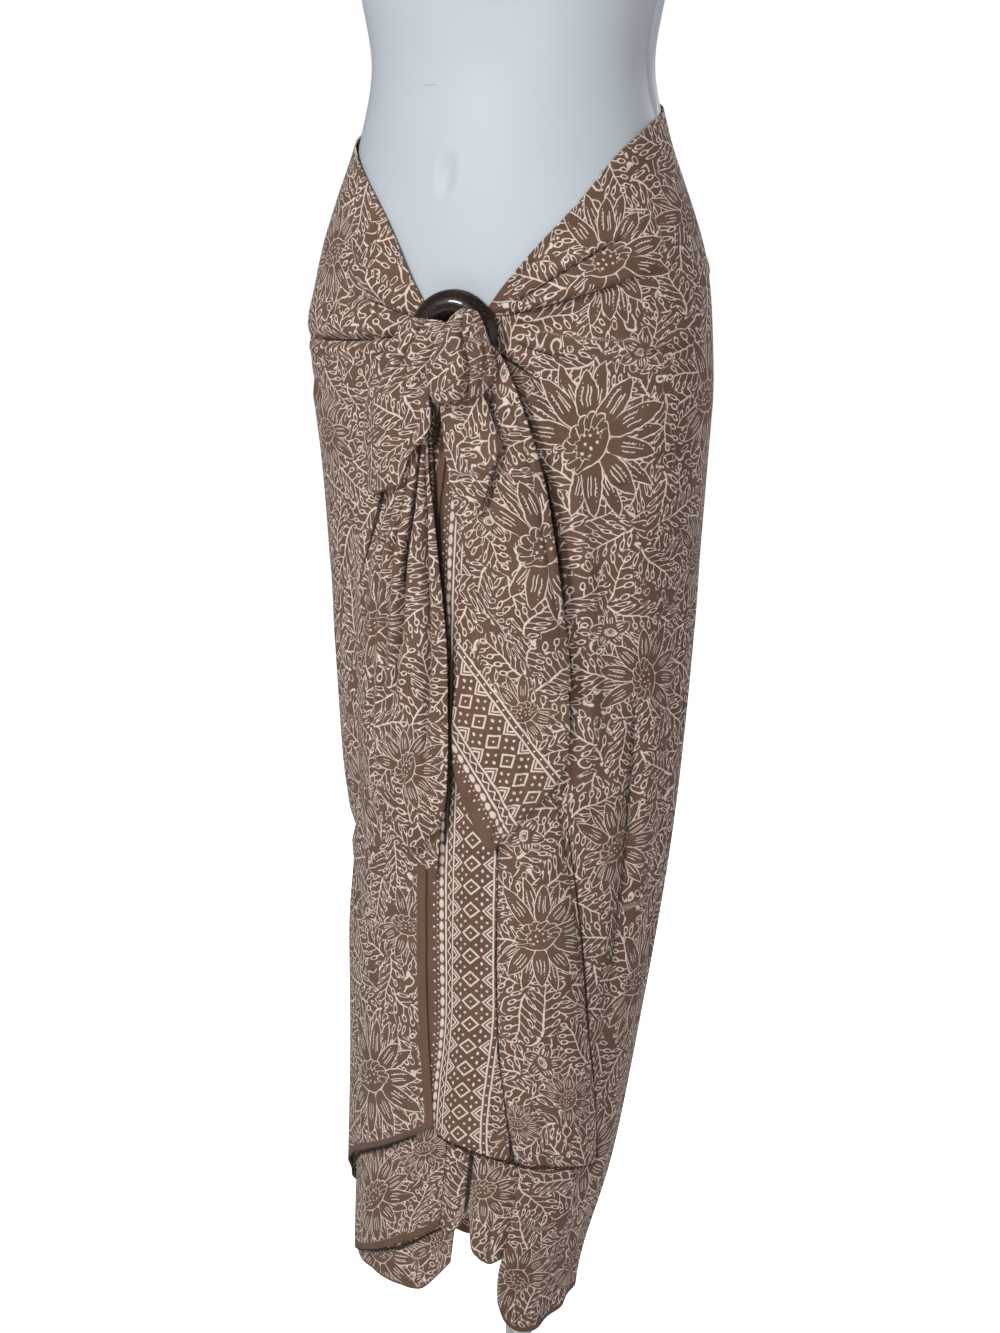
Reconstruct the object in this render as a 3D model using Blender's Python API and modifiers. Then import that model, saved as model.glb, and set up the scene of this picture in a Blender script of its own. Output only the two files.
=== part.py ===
# A batik sarong wrapped low on the hips of a smooth, limbless display form. The cloth is one
# rectangle: its long edge crosses the back at the waist, dips to the front in a V, and both
# upper corners are drawn through a coconut shell ring and hang down as two tails.
# Each stretch of the cloth that shows is a solid of its own.
#
# Frame: metres, +Z up, origin on the floor at the centre of the stand's base. The front of the
# garment faces -Y. Angles are in degrees round the body, 0 at the front and 90 at +X.
import math

import bpy
import numpy as np

# Driving sizes
WALL = 0.0015
FORM_GAP = 0.0012
SEAM = 0.0006
LAYER = 0.0024
DATUM = 0.040  # every height in the tables is measured from this far above the floor
HANG = 0.930  # below the fullest hip the cloth hangs free
SEAM_ANGLE = 100.0  # where the side stretches meet the back stretch

RING_OUTER = 0.038
RING_HOLE = 0.0135
RING_RIM = 0.0035
RING_DOME = 0.0075
RING_ANGLE = 5.0
RING_HEIGHT = 0.989
RING_STANDOFF = 0.0100  # from the plain drape to the ring's back
RING_TILT = 3.0

BODY_X = -0.008  # the body's axis stands a little to one side of the pole
POLE_RADIUS = 0.0120
BASE_RADIUS = 0.140
BASE_THICK = 0.012
COLLAR_RADIUS = 0.024
COLLAR_HEIGHT = 0.030
PLATE_RADIUS = 0.048
PLATE_THICK = 0.006
CAP_RADIUS = 0.0475
CAP_HEIGHT = 0.012
PART_GAP = 0.0003

# Form: height, half width, front depth, back depth
FORM_ROWS = (
    (0.850, 0.138, 0.086, 0.098),
    (0.860, 0.154, 0.098, 0.109),
    (0.885, 0.168, 0.109, 0.118),
    (0.930, 0.174, 0.113, 0.121),
    (0.980, 0.173, 0.113, 0.118),
    (1.040, 0.165, 0.110, 0.107),
    (1.100, 0.149, 0.103, 0.094),
    (1.150, 0.134, 0.096, 0.086),
    (1.205, 0.1235, 0.090, 0.083),
    (1.260, 0.132, 0.094, 0.088),
    (1.320, 0.145, 0.103, 0.093),
    (1.380, 0.154, 0.110, 0.095),
    (1.440, 0.158, 0.105, 0.096),
    (1.500, 0.166, 0.091, 0.092),
    (1.545, 0.168, 0.076, 0.084),
    (1.580, 0.140, 0.064, 0.072),
    (1.605, 0.090, 0.055, 0.060),
    (1.630, 0.060, 0.050, 0.053),
    (1.670, 0.054, 0.049, 0.049),
)
BUST_HEIGHT, BUST_ANGLE, BUST_RISE = 1.385, 34.0, 0.018

# Hanging cloth: height, half width, front depth, back depth, shift in x, shift in y
DRAPE_ROWS = (
    (0.040, 0.096, 0.092, 0.072, -0.036, -0.026),
    (0.160, 0.107, 0.102, 0.080, -0.030, -0.025),
    (0.250, 0.116, 0.109, 0.085, -0.019, -0.022),
    (0.395, 0.128, 0.117, 0.094, -0.006, -0.016),
    (0.580, 0.145, 0.123, 0.106, 0.004, -0.010),
    (0.760, 0.161, 0.122, 0.116, 0.003, -0.004),
    (0.930, 0.1752, 0.1142, 0.1222, 0.000, 0.000),
)

# Upper edge of the wrap: angle, height
TOP_ROWS = (
    (-180, 1.195), (-120, 1.178), (-90, 1.158), (-62, 1.134), (-38, 1.093), (-23, 1.056),
    (-10, 1.013), (5, 0.974), (19, 1.017), (33, 1.054), (50, 1.092), (66, 1.131),
    (82, 1.155), (100, 1.170), (120, 1.180), (180, 1.195),
)
# Hem of the outer layer: angle, height
HEM_ROWS = (
    (-100, 0.180), (-75, 0.228), (-50, 0.267), (-25, 0.291), (-8, 0.310), (4, 0.325),
)
BACK_HEM_ROWS = (
    (100, 0.132), (120, 0.138), (150, 0.136), (180, 0.134), (210, 0.134), (240, 0.150),
    (260, 0.180),
)
RIGHT_HEM_ROWS = (
    (30, 0.210), (36, 0.190), (40, 0.166), (45, 0.142), (52, 0.127), (61, 0.121),
    (74, 0.124), (100, 0.132),
)
BORDER_HEM_ROWS = ((-16, 0.325), (4, 0.321), (10, 0.308), (24, 0.301), (35, 0.297), (46, 0.292))
PLEAT_HEM_ROWS = ((36, 0.300), (50, 0.294), (61, 0.289), (80, 0.281))
MIDDLE_HEM_ROWS = ((-74, 0.158), (-40, 0.178), (-12, 0.205), (0, 0.218), (9, 0.231))
LOW_HEM_ROWS = ((-78, 0.160), (-33, 0.164), (-12, 0.163), (3, 0.166), (10, 0.180), (16, 0.194))
CENTRE_HEM_ROWS = (
    (9, 0.234), (14, 0.226), (18, 0.232), (22, 0.240), (25, 0.214), (29, 0.203), (34, 0.196),
    (41, 0.199),
)
# Free edge of the left front: height, angle
LEFT_EDGE_ROWS = (
    (0.320, 3.0), (0.440, -4.0), (0.540, -6.4), (0.700, -5.0), (0.860, -2.0), (0.920, 2.0),
    (0.960, 4.6), (1.000, 4.6),
)
# Where the right stretch meets the border stretch: height, angle
RIGHT_EDGE_ROWS = (
    (0.100, 46.0), (0.140, 43.5), (0.186, 40.0), (0.215, 41.2), (0.260, 42.0), (0.320, 40.3),
    (0.380, 37.4), (0.440, 34.2), (0.560, 29.0), (0.700, 22.5), (0.800, 17.0), (0.880, 10.0),
    (0.930, 5.8), (0.960, 5.2), (1.000, 5.2),
)
# Hanging folds: angle, half width in degrees, height where it starts, rise at the hem
FOLD_ROWS = (
    (-84, 8, 0.98, 0.0070),
    (-62, 9, 0.80, 0.0030),
    (-34, 11, 0.55, 0.0020),
    (66, 7, 0.72, 0.0040),
    (87, 7, 0.90, 0.0040),
    (108, 7, 1.08, 0.0050),
    (126, 8, 0.98, 0.0070),
    (145, 7, 1.06, 0.0100),
    (163, 8, 0.98, 0.0160),
    (181, 8, 1.08, 0.0120),
    (199, 7, 0.98, 0.0150),
    (217, 8, 1.04, 0.0120),
    (235, 8, 0.98, 0.0130),
    (253, 7, 0.93, 0.0090),
)
# Broad places where the gathered cloth stands off the body: angle, height, half width in
# degrees, half height, rise
SWELL_ROWS = (
    (-66, 0.990, 26, 0.075, 0.0090),
    (-70, 1.075, 24, 0.060, 0.0050),
    (-64, 0.545, 24, 0.050, -0.0070),
    (96, 1.060, 24, 0.060, 0.0050),
    (84, 0.150, 34, 0.080, -0.0120),
)
# Gathers that run out from the ring: direction, length, rise
GATHER_ROWS = (
    (46, 0.15, 0.0050),
    (22, 0.24, 0.0095),
    (-3, 0.20, 0.0085),
    (-38, 0.18, 0.0080),
    (132, 0.14, 0.0050),
    (154, 0.18, 0.0080),
    (177, 0.25, 0.0110),
    (206, 0.17, 0.0070),
)

BORDER_TOP_ROWS = ((-16, 0.900), (-4, 0.905), (3, 0.915), (12, 0.905))
BORDER_OVERLAP = 6.5  # degrees that the border runs under the left front's free edge

# Each stretch below is a ruled strip from a left edge to a right edge, a row for each place
# down it: left angle, left height, right angle, right height, lift at the left, in the
# middle and at the right. A lift is measured out from the plain drape.
PLEAT_STRIP = (
    (14.0, 0.880, 20.0, 0.880, 0.0024, 0.0026, 0.0024),
    (19.0, 0.760, 30.0, 0.760, 0.0024, 0.0032, 0.0024),
    (22.5, 0.650, 39.0, 0.650, 0.0024, 0.0060, 0.0024),
    (23.0, 0.570, 46.0, 0.570, 0.0030, 0.0100, 0.0026),
    (24.5, 0.480, 54.0, 0.480, 0.0034, 0.0125, 0.0030),
    (28.0, 0.400, 62.5, 0.400, 0.0036, 0.0140, 0.0040),
    (33.5, 0.340, 70.5, 0.335, 0.0036, 0.0150, 0.0060),
    (39.0, 0.297, 77.0, 0.283, 0.0036, 0.0150, 0.0060),
)
MIDDLE_STRIP = (
    (-72.0, 0.360, 8.6, 0.380, -0.0026, -0.0030, -0.0026),
    (-72.0, 0.290, 8.6, 0.320, -0.0026, -0.0034, -0.0026),
    (-73.0, 0.220, 8.7, 0.275, -0.0026, -0.0030, -0.0026),
    (-74.0, 0.158, 8.8, 0.231, -0.0026, -0.0026, -0.0026),
)
LOW_STRIP = (
    (-78.0, 0.300, 15.5, 0.320, -0.0060, -0.0066, -0.0076),
    (-78.0, 0.230, 15.8, 0.260, -0.0060, -0.0070, -0.0080),
    (-78.0, 0.160, 16.0, 0.194, -0.0056, -0.0062, -0.0084),
)
CENTRE_STRIP = (
    (9.0, 0.380, 46.0, 0.365, -0.0032, -0.0034, -0.0036),
    (9.0, 0.300, 45.0, 0.290, -0.0029, -0.0030, -0.0038),
    (9.1, 0.260, 43.0, 0.240, -0.0026, -0.0020, -0.0050),
    (9.2, 0.234, 41.0, 0.199, -0.0026, -0.0014, -0.0060),
)
FLAP_STRIP = (
    (0.9, 0.988, 4.6, 0.988, 0.0024, 0.0024, 0.0024),
    (0.7, 0.991, 4.6, 0.991, 0.0150, 0.0150, 0.0150),
    (-1.5, 0.997, 4.6, 0.995, 0.0232, 0.0240, 0.0240),
    (-11.2, 0.996, 3.6, 0.992, 0.0232, 0.0262, 0.0240),
    (-21.0, 0.976, 2.4, 0.976, 0.0190, 0.0290, 0.0235),
    (-31.0, 0.949, 0.5, 0.958, 0.0120, 0.0290, 0.0235),
    (-36.6, 0.922, -1.8, 0.942, 0.0070, 0.0280, 0.0230),
    (-37.4, 0.899, -1.2, 0.925, 0.0053, 0.0260, 0.0225),
    (-35.9, 0.879, -4.2, 0.909, 0.0047, 0.0235, 0.0215),
    (-34.8, 0.864, -10.0, 0.897, 0.0047, 0.0200, 0.0200),
    (-31.0, 0.857, -14.6, 0.870, 0.0070, 0.0165, 0.0170),
)
TAIL_LEFT_STRIP = (
    (-17.0, 0.912, -5.0, 0.914, 0.0100, 0.0130, 0.0130),
    (-22.0, 0.873, -1.4, 0.880, 0.0078, 0.0140, 0.0130),
    (-27.3, 0.840, 1.0, 0.849, 0.0050, 0.0160, 0.0110),
    (-33.0, 0.805, 2.6, 0.813, 0.0046, 0.0180, 0.0105),
    (-37.4, 0.737, 4.4, 0.749, 0.0056, 0.0200, 0.0115),
    (-38.6, 0.668, 5.2, 0.684, 0.0076, 0.0210, 0.0120),
    (-35.6, 0.622, 4.6, 0.636, 0.0086, 0.0210, 0.0120),
    (-28.2, 0.592, 1.9, 0.602, 0.0100, 0.0190, 0.0115),
    (-17.2, 0.571, -7.2, 0.572, 0.0120, 0.0140, 0.0120),
)
TAIL_LEFT_CORNER_STRIP = (
    (-35.5, 0.690, 0.6, 0.700, 0.0046, 0.0048, 0.0046),
    (-36.0, 0.633, 0.8, 0.650, 0.0044, 0.0048, 0.0046),
    (-33.0, 0.601, 0.4, 0.608, 0.0044, 0.0050, 0.0048),
    (-23.5, 0.581, -0.3, 0.577, 0.0044, 0.0058, 0.0052),
    (-11.8, 0.562, -0.8, 0.557, 0.0046, 0.0056, 0.0052),
    (-3.4, 0.548, -1.0, 0.546, 0.0048, 0.0050, 0.0050),
)
KNOT_STRIP = (
    (5.8, 0.989, 9.6, 0.989, 0.0024, 0.0024, 0.0024),
    (5.8, 0.992, 9.8, 0.992, 0.0150, 0.0150, 0.0150),
    (6.0, 0.998, 11.0, 0.998, 0.0250, 0.0260, 0.0250),
    (7.2, 1.006, 15.0, 1.006, 0.0262, 0.0300, 0.0250),
    (4.6, 0.996, 18.4, 0.996, 0.0262, 0.0370, 0.0262),
    (3.2, 0.980, 20.4, 0.979, 0.0263, 0.0400, 0.0266),
    (0.4, 0.961, 21.0, 0.965, 0.0261, 0.0400, 0.0254),
    (0.2, 0.948, 19.4, 0.954, 0.0260, 0.0370, 0.0250),
    (2.2, 0.935, 16.4, 0.944, 0.0256, 0.0310, 0.0255),
)
TAIL_RIGHT_STRIP = (
    (6.0, 0.950, 20.6, 0.984, 0.0195, 0.0230, 0.0234),
    (2.0, 0.940, 24.8, 0.969, 0.0200, 0.0232, 0.0205),
    (2.2, 0.922, 31.0, 0.928, 0.0185, 0.0230, 0.0160),
    (3.7, 0.893, 34.9, 0.896, 0.0165, 0.0235, 0.0130),
    (5.9, 0.862, 37.8, 0.866, 0.0150, 0.0225, 0.0115),
    (9.8, 0.826, 39.9, 0.829, 0.0140, 0.0215, 0.0110),
    (13.8, 0.797, 41.4, 0.799, 0.0135, 0.0215, 0.0110),
    (18.5, 0.774, 42.7, 0.770, 0.0135, 0.0215, 0.0110),
    (26.2, 0.744, 44.2, 0.737, 0.0140, 0.0195, 0.0115),
    (35.5, 0.720, 44.9, 0.708, 0.0135, 0.0150, 0.0120),
)
TAIL_RIGHT_CORNER_STRIP = (
    (6.2, 0.800, 36.0, 0.800, 0.0037, 0.0055, 0.0043),
    (6.4, 0.765, 40.0, 0.765, 0.0037, 0.0061, 0.0043),
    (6.0, 0.716, 44.4, 0.719, 0.0049, 0.0083, 0.0049),
    (4.6, 0.676, 45.8, 0.679, 0.0063, 0.0103, 0.0049),
    (5.4, 0.641, 44.5, 0.647, 0.0068, 0.0123, 0.0055),
    (8.3, 0.620, 40.2, 0.627, 0.0078, 0.0143, 0.0073),
    (12.7, 0.600, 32.3, 0.607, 0.0093, 0.0143, 0.0103),
    (17.0, 0.583, 24.5, 0.588, 0.0108, 0.0128, 0.0113),
    (19.2, 0.576, 21.0, 0.576, 0.0108, 0.0113, 0.0108),
)

# Name: colour, roughness
FINISHES = {
    "batik_cloth": ((0.30, 0.205, 0.15), 0.75),
    "coconut_shell": ((0.045, 0.022, 0.014), 0.30),
    "form_plastic": ((0.62, 0.65, 0.69), 0.45),
    "stand_metal": ((0.70, 0.70, 0.71), 0.35),
}


def clear_scene():
    """Removes every object that the file starts with."""
    for leftover in list(bpy.data.objects):
        bpy.data.objects.remove(leftover)


def finish_material(name):
    """The named finish as a Principled material, made once."""
    made = bpy.data.materials.get(name)
    if made:
        return made
    colour, roughness = FINISHES[name]
    made = bpy.data.materials.new(name)
    made.use_nodes = True
    shader = made.node_tree.nodes["Principled BSDF"]
    shader.inputs["Base Color"].default_value = (*colour, 1.0)
    shader.inputs["Roughness"].default_value = roughness
    shader.inputs["Metallic"].default_value = 1.0 if name == "stand_metal" else 0.0
    return made


def along(rows, at):
    """The other columns of a table at this value of its first, on a smooth curve through the rows."""
    table = np.asarray(rows, float)
    key = table[:, 0]
    place = np.clip(np.asarray(at, float), key[0], key[-1])
    low = np.clip(np.searchsorted(key, place) - 1, 0, len(key) - 2)
    step = key[low + 1] - key[low]
    share = (place - key[low]) / step
    columns = []
    for values in table[:, 1:].T:
        slope = np.gradient(values, key)
        columns.append(
            (2 * share**3 - 3 * share**2 + 1) * values[low]
            + (share**3 - 2 * share**2 + share) * step * slope[low]
            + (3 * share**2 - 2 * share**3) * values[low + 1]
            + (share**3 - share**2) * step * slope[low + 1]
        )
    return columns


def ramp(value):
    """A smooth step from 0 to 1."""
    share = np.clip(value, 0.0, 1.0)
    return share * share * (3 - 2 * share)


def oval(angle, half_width, front, back):
    """Radius at an angle of an oval whose front and back have their own depth."""
    turn = np.radians(angle)
    depth = np.where(np.cos(turn) > 0, front, back)
    return 1 / np.sqrt((np.sin(turn) / half_width) ** 2 + (np.cos(turn) / depth) ** 2)


def form_radius(angle, height):
    """Radius of the bare form, without its bust."""
    half_width, front, back = along(FORM_ROWS, height)
    return oval(angle, half_width, front, back)


def drape(angle, height):
    """Radius and centre of the plain drape: on the form down to the hip, then hanging."""
    half_width, front, back, shift_x, shift_y = along(DRAPE_ROWS, height)
    hanging = height < HANG
    radius = np.where(
        hanging, oval(angle, half_width, front, back), form_radius(angle, height) + FORM_GAP
    )
    return radius, np.where(hanging, shift_x, 0.0), np.where(hanging, shift_y, 0.0)


def at_drape(angle, height, lift):
    """Points this far out from the plain drape."""
    radius, centre_x, centre_y = drape(angle, height)
    turn = np.radians(angle)
    return np.stack(
        [
            BODY_X + centre_x + (radius + lift) * np.sin(turn),
            centre_y - (radius + lift) * np.cos(turn),
            height + DATUM + 0 * radius,
        ],
        axis=-1,
    )


def hanging_folds(angle, height):
    """Rise of the soft vertical folds, growing from where each starts down to the hem."""
    rise = 0 * angle
    lowest = DRAPE_ROWS[0][0]
    for centre, half_width, start, depth in FOLD_ROWS:
        away = (angle - centre + 180) % 360 - 180
        grown = ramp((start - height) / (start - lowest))
        rise = rise + depth * grown * np.exp(-((away / half_width) ** 2))
    return rise


def ring_gathers(angle, height):
    """Rise of the gathers that run out from the ring over the hips."""
    span = np.radians(angle - RING_ANGLE) * 0.135
    drop = height - RING_HEIGHT
    reach = np.hypot(span, drop)
    heading = np.degrees(np.arctan2(drop, span))
    rise = 0 * angle
    for direction, length, depth in GATHER_ROWS:
        turned = np.radians((heading - direction + 180) % 360 - 180)
        aside = reach * np.abs(np.sin(np.clip(turned, -1.5, 1.5)))
        width = 0.0045 + 0.090 * reach
        fade = ramp((reach - RING_OUTER - 0.004) / 0.032) * (1 - ramp((reach - 0.06) / (length - 0.06)))
        rise = rise + depth * fade * np.exp(-((aside / width) ** 2)) * (np.abs(turned) < 1.4)
    return rise


def swells(angle, height):
    """Rise of the broad places where the cloth stands off the body."""
    rise = 0 * angle
    for centre, level, half_width, half_height, depth in SWELL_ROWS:
        away = (angle - centre + 180) % 360 - 180
        rise = rise + depth * np.exp(
            -((away / half_width) ** 2) - ((height - level) / half_height) ** 2
        )
    return rise


def wrap_lift(angle, height, over):
    """How far the wrap lies from the plain drape. Over is 1 where it covers the border."""
    layer = LAYER * over * ramp((0.955 - height) / 0.045)
    return (
        layer + swells(angle, height) + hanging_folds(angle, height) + ring_gathers(angle, height)
    )


def add_sheet(name, points, wall=WALL):
    """A cloth wall on a grid of points, rows from top to bottom, thickened outwards."""
    rows, columns = points.shape[:2]
    index = np.arange(rows * columns).reshape(rows, columns)
    faces = np.stack(
        [index[:-1, :-1], index[1:, :-1], index[1:, 1:], index[:-1, 1:]], axis=-1
    ).reshape(-1, 4)
    mesh = bpy.data.meshes.new(name)
    mesh.from_pydata(points.reshape(-1, 3).tolist(), [], faces.tolist())
    mesh.shade_smooth()
    sheet = bpy.data.objects.new(name, mesh)
    garment.objects.link(sheet)
    mesh.materials.append(finish_material("batik_cloth"))
    thick = sheet.modifiers.new("wall", "SOLIDIFY")
    thick.thickness = wall
    thick.offset = 1.0
    return sheet


def strip_points(strip, row_count, column_count, ripple=None, hem_rows=None):
    """Points of a ruled strip. The lift across it is an arch through its three lifts.

    Where a hem is given, the strip's lower half eases down to follow it.
    """
    table = np.asarray(strip, float)
    keyed = np.column_stack([np.arange(len(table)), table])
    down = np.linspace(0, len(table) - 1, row_count)
    left, left_z, right, right_z, lift_l, lift_m, lift_r = (
        column[:, None] for column in along(keyed, down)
    )
    across = np.linspace(0, 1, column_count)[None, :]
    angle = left + (right - left) * across
    height = left_z + (right_z - left_z) * across
    if hem_rows is not None:
        eased = ramp(down[:, None] / (len(table) - 1) * 1.6 - 0.6)
        height = height + (along(hem_rows, angle)[0] - height[-1:]) * eased
    arch = np.sin(math.pi * across) ** 0.75
    lift = lift_l + (lift_r - lift_l) * across
    lift = lift + (lift_m - (lift_l + lift_r) / 2) * arch
    if ripple is not None:
        lift = lift + ripple(across, down[:, None] / (len(table) - 1))
    return at_drape(angle, height, lift)


def wrap_points(angle_at, top_rows, hem_rows, over_at, down, across):
    """Points of a stretch of the main wrap: down its rows and across its columns."""
    share = down[:, None]
    across = across[None, :] + 0 * share
    angle = angle_at(np.full(across.shape, 0.9), across)
    for _ in range(12):
        signed = (angle + 180) % 360 - 180
        top = along(top_rows, signed)[0]
        hem = along(hem_rows, angle)[0]
        height = top + (hem - top) * share
        angle = 0.5 * angle + 0.5 * angle_at(height, across)
    return at_drape(angle, height, wrap_lift(angle, height, over_at(angle)))


def add_form():
    """The display form: ovals lofted from the hip to the neck, with a soft bust."""
    levels = np.concatenate(
        [
            [0.850, 0.854, 0.860, 0.872, 0.885],
            np.linspace(0.912, 1.482, 18),
            [1.515, 1.540, 1.560, 1.578, 1.592, 1.607, 1.628, 1.670],
        ]
    )
    angles = np.arange(0, 360, 10.0)
    height, angle = levels[:, None], angles[None, :]
    radius = form_radius(angle + 0 * height, height + 0 * angle)
    for side in (-BUST_ANGLE, BUST_ANGLE):
        away = (angle - side + 180) % 360 - 180
        radius = radius + BUST_RISE * np.exp(
            -((away / 23) ** 2) - ((height - BUST_HEIGHT) / 0.070) ** 2
        )
    turn = np.radians(angle)
    points = np.stack(
        [
            BODY_X + radius * np.sin(turn),
            -radius * np.cos(turn),
            height + DATUM + 0 * radius,
        ],
        axis=-1,
    )
    rows, columns = points.shape[:2]
    index = np.arange(rows * columns).reshape(rows, columns)
    after = np.roll(index, -1, axis=1)
    faces = np.stack([index[:-1], after[:-1], after[1:], index[1:]], axis=-1).reshape(-1, 4)
    loops = faces.tolist() + [index[-1].tolist(), index[0][::-1].tolist()]
    mesh = bpy.data.meshes.new("form_torso")
    mesh.from_pydata(points.reshape(-1, 3).tolist(), [], loops)
    mesh.shade_smooth()
    mesh.set_sharp_from_angle(angle=math.radians(50))
    torso = bpy.data.objects.new("form_torso", mesh)
    garment.objects.link(torso)
    mesh.materials.append(finish_material("form_plastic"))


def add_round(name, radius, depth, bottom, centre_x=0.0, bevel=0.0, finish="stand_metal", sides=48):
    """A round upright piece standing at this height."""
    bpy.ops.mesh.primitive_cylinder_add(
        vertices=sides, radius=radius, depth=depth, location=(centre_x, 0, bottom + depth / 2)
    )
    piece = bpy.context.object
    piece.name = name
    piece.data.name = name
    for collection in list(piece.users_collection):
        collection.objects.unlink(piece)
    garment.objects.link(piece)
    piece.data.materials.append(finish_material(finish))
    if bevel:
        edge = piece.modifiers.new("soft edge", "BEVEL")
        edge.width = bevel
        edge.segments = 1
        edge.limit_method = "ANGLE"
    piece.data.shade_smooth()
    piece.data.set_sharp_from_angle(angle=math.radians(40))
    return piece


def add_stand():
    """A flat round base, a collar, a pole and the plate that carries the form."""
    floor_gap = BASE_THICK + PART_GAP
    form_foot = FORM_ROWS[0][0] + DATUM
    plate_bottom = form_foot - PART_GAP - PLATE_THICK
    collar_top = floor_gap + COLLAR_HEIGHT
    add_round("stand_base", BASE_RADIUS, BASE_THICK, 0.0, 0.0, 0.003)
    add_round("stand_collar", COLLAR_RADIUS, COLLAR_HEIGHT, floor_gap, 0.0, 0.002, sides=32)
    pole_bottom = collar_top + PART_GAP
    pole_length = plate_bottom - PART_GAP - pole_bottom
    add_round("stand_pole", POLE_RADIUS, pole_length, pole_bottom, sides=24)
    add_round("stand_plate", PLATE_RADIUS, PLATE_THICK, plate_bottom, 0.0, 0.001, sides=32)
    neck_top = FORM_ROWS[-1][0] + DATUM + PART_GAP
    add_round("neck_cap", CAP_RADIUS, CAP_HEIGHT, neck_top, BODY_X, 0.004, sides=32)


def add_ring():
    """The domed coconut shell ring: a closed profile turned about its axis, facing the front."""
    shares = np.linspace(0, 1, 8)
    band = RING_OUTER - RING_HOLE
    front = [
        (RING_HOLE + band * s, RING_RIM + RING_DOME * math.sin(math.pi * s) ** 0.8) for s in shares
    ]
    back = [(RING_HOLE + band * s, 0.45 * RING_DOME * math.sin(math.pi * s)) for s in (0.12, 0.4, 0.7, 0.92)]
    profile = front + back[::-1]
    mesh = bpy.data.meshes.new("shell_ring")
    edges = [(i, (i + 1) % len(profile)) for i in range(len(profile))]
    mesh.from_pydata([(radius, 0.0, level) for radius, level in profile], edges, [])
    ring = bpy.data.objects.new("shell_ring", mesh)
    garment.objects.link(ring)
    mesh.materials.append(finish_material("coconut_shell"))
    turn = ring.modifiers.new("turn", "SCREW")
    turn.axis = "Z"
    turn.steps = 36
    turn.render_steps = 36
    turn.use_merge_vertices = True
    turn.merge_threshold = 0.0001
    turn.use_smooth_shade = True
    radius = drape(np.array(RING_ANGLE), np.array(RING_HEIGHT))[0] + RING_STANDOFF
    side = math.radians(RING_ANGLE)
    ring.location = (
        BODY_X + radius * math.sin(side), -radius * math.cos(side), RING_HEIGHT + DATUM
    )
    ring.rotation_euler = (math.radians(90 - RING_TILT), 0, side)


def add_wraps():
    """The wrap: left front and side, back, right front and side, and the border stretch."""
    half_seam = SEAM / 2 / 0.16 * 180 / math.pi
    edge_seam = 1.2 * SEAM / 0.12 * 180 / math.pi

    def left_angle(height, across):
        start = -SEAM_ANGLE + half_seam
        return start + (along(LEFT_EDGE_ROWS, height)[0] - start) * across

    def back_angle(height, across):
        start, end = SEAM_ANGLE + half_seam, 360 - SEAM_ANGLE - half_seam
        return start + (end - start) * across + 0 * height

    def right_angle(height, across):
        edge = along(RIGHT_EDGE_ROWS, height)[0]
        return edge + (SEAM_ANGLE - half_seam - edge) * across

    def border_angle(height, across):
        start = along(LEFT_EDGE_ROWS, height)[0] - BORDER_OVERLAP
        spare = edge_seam + 0.8 * ramp((0.335 - height) / 0.04)
        return start + (along(RIGHT_EDGE_ROWS, height)[0] - spare - start) * across

    def covers(angle):
        return 1 + 0 * angle

    def eases(angle):
        return ramp((angle - 190) / 70)

    def bare(angle):
        return 0 * angle

    # rows crowd near the top and columns near the ring, where the gathers are
    down = np.append(np.linspace(0, 0.19, 15), 0.19 + 0.81 * np.linspace(0, 1, 13)[1:] ** 1.4)
    down_back = np.append(np.linspace(0, 0.30, 10), np.linspace(0.30, 1, 7)[1:])
    fine_front = np.linspace(0, 1, 24) ** 1.2
    around = np.linspace(0, 1, 37)
    narrow = np.linspace(0, 1, 7)
    left = wrap_points(left_angle, TOP_ROWS, HEM_ROWS, covers, down, 1 - fine_front[::-1])
    back = wrap_points(back_angle, TOP_ROWS, BACK_HEM_ROWS, eases, down_back, around)
    right = wrap_points(right_angle, TOP_ROWS, RIGHT_HEM_ROWS, bare, down, fine_front)
    # the border stretch shares the heights of its neighbour's rows along their seam
    seam_top = float(along(BORDER_TOP_ROWS, 8.0)[0])
    seam_hem = float(along(BORDER_HEM_ROWS, 43.5)[0])
    shared = right[:, 0, 2] - DATUM
    shared = shared[(shared < seam_top - 0.015) & (shared > seam_hem + 0.015)]
    down_border = np.concatenate([[0], (seam_top - shared) / (seam_top - seam_hem), [1]])
    border = wrap_points(
        border_angle, BORDER_TOP_ROWS, BORDER_HEM_ROWS, bare, down_border, narrow
    )
    add_sheet("wrap_left", left)
    add_sheet("wrap_back", back)
    add_sheet("wrap_right", right)
    add_sheet("front_border", border)


def add_front_layers():
    """The pleat over the border stretch, and the lower layers inside the hem."""

    def centre_ripple(across, down):
        return -0.0045 * down * np.exp(-(((across - 0.40) / 0.12) ** 2))

    def pleat_ripple(across, down):
        return -0.004 * ramp((down - 0.4) / 0.6) * np.exp(-(((across - 0.36) / 0.1) ** 2))

    pleat = strip_points(PLEAT_STRIP, 13, 11, pleat_ripple, PLEAT_HEM_ROWS)
    add_sheet("front_pleat", pleat)
    add_sheet("inner_middle", strip_points(MIDDLE_STRIP, 6, 9, None, MIDDLE_HEM_ROWS))
    add_sheet("inner_low", strip_points(LOW_STRIP, 5, 11, None, LOW_HEM_ROWS))
    add_sheet("inner_centre", strip_points(CENTRE_STRIP, 6, 14, centre_ripple, CENTRE_HEM_ROWS))


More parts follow.
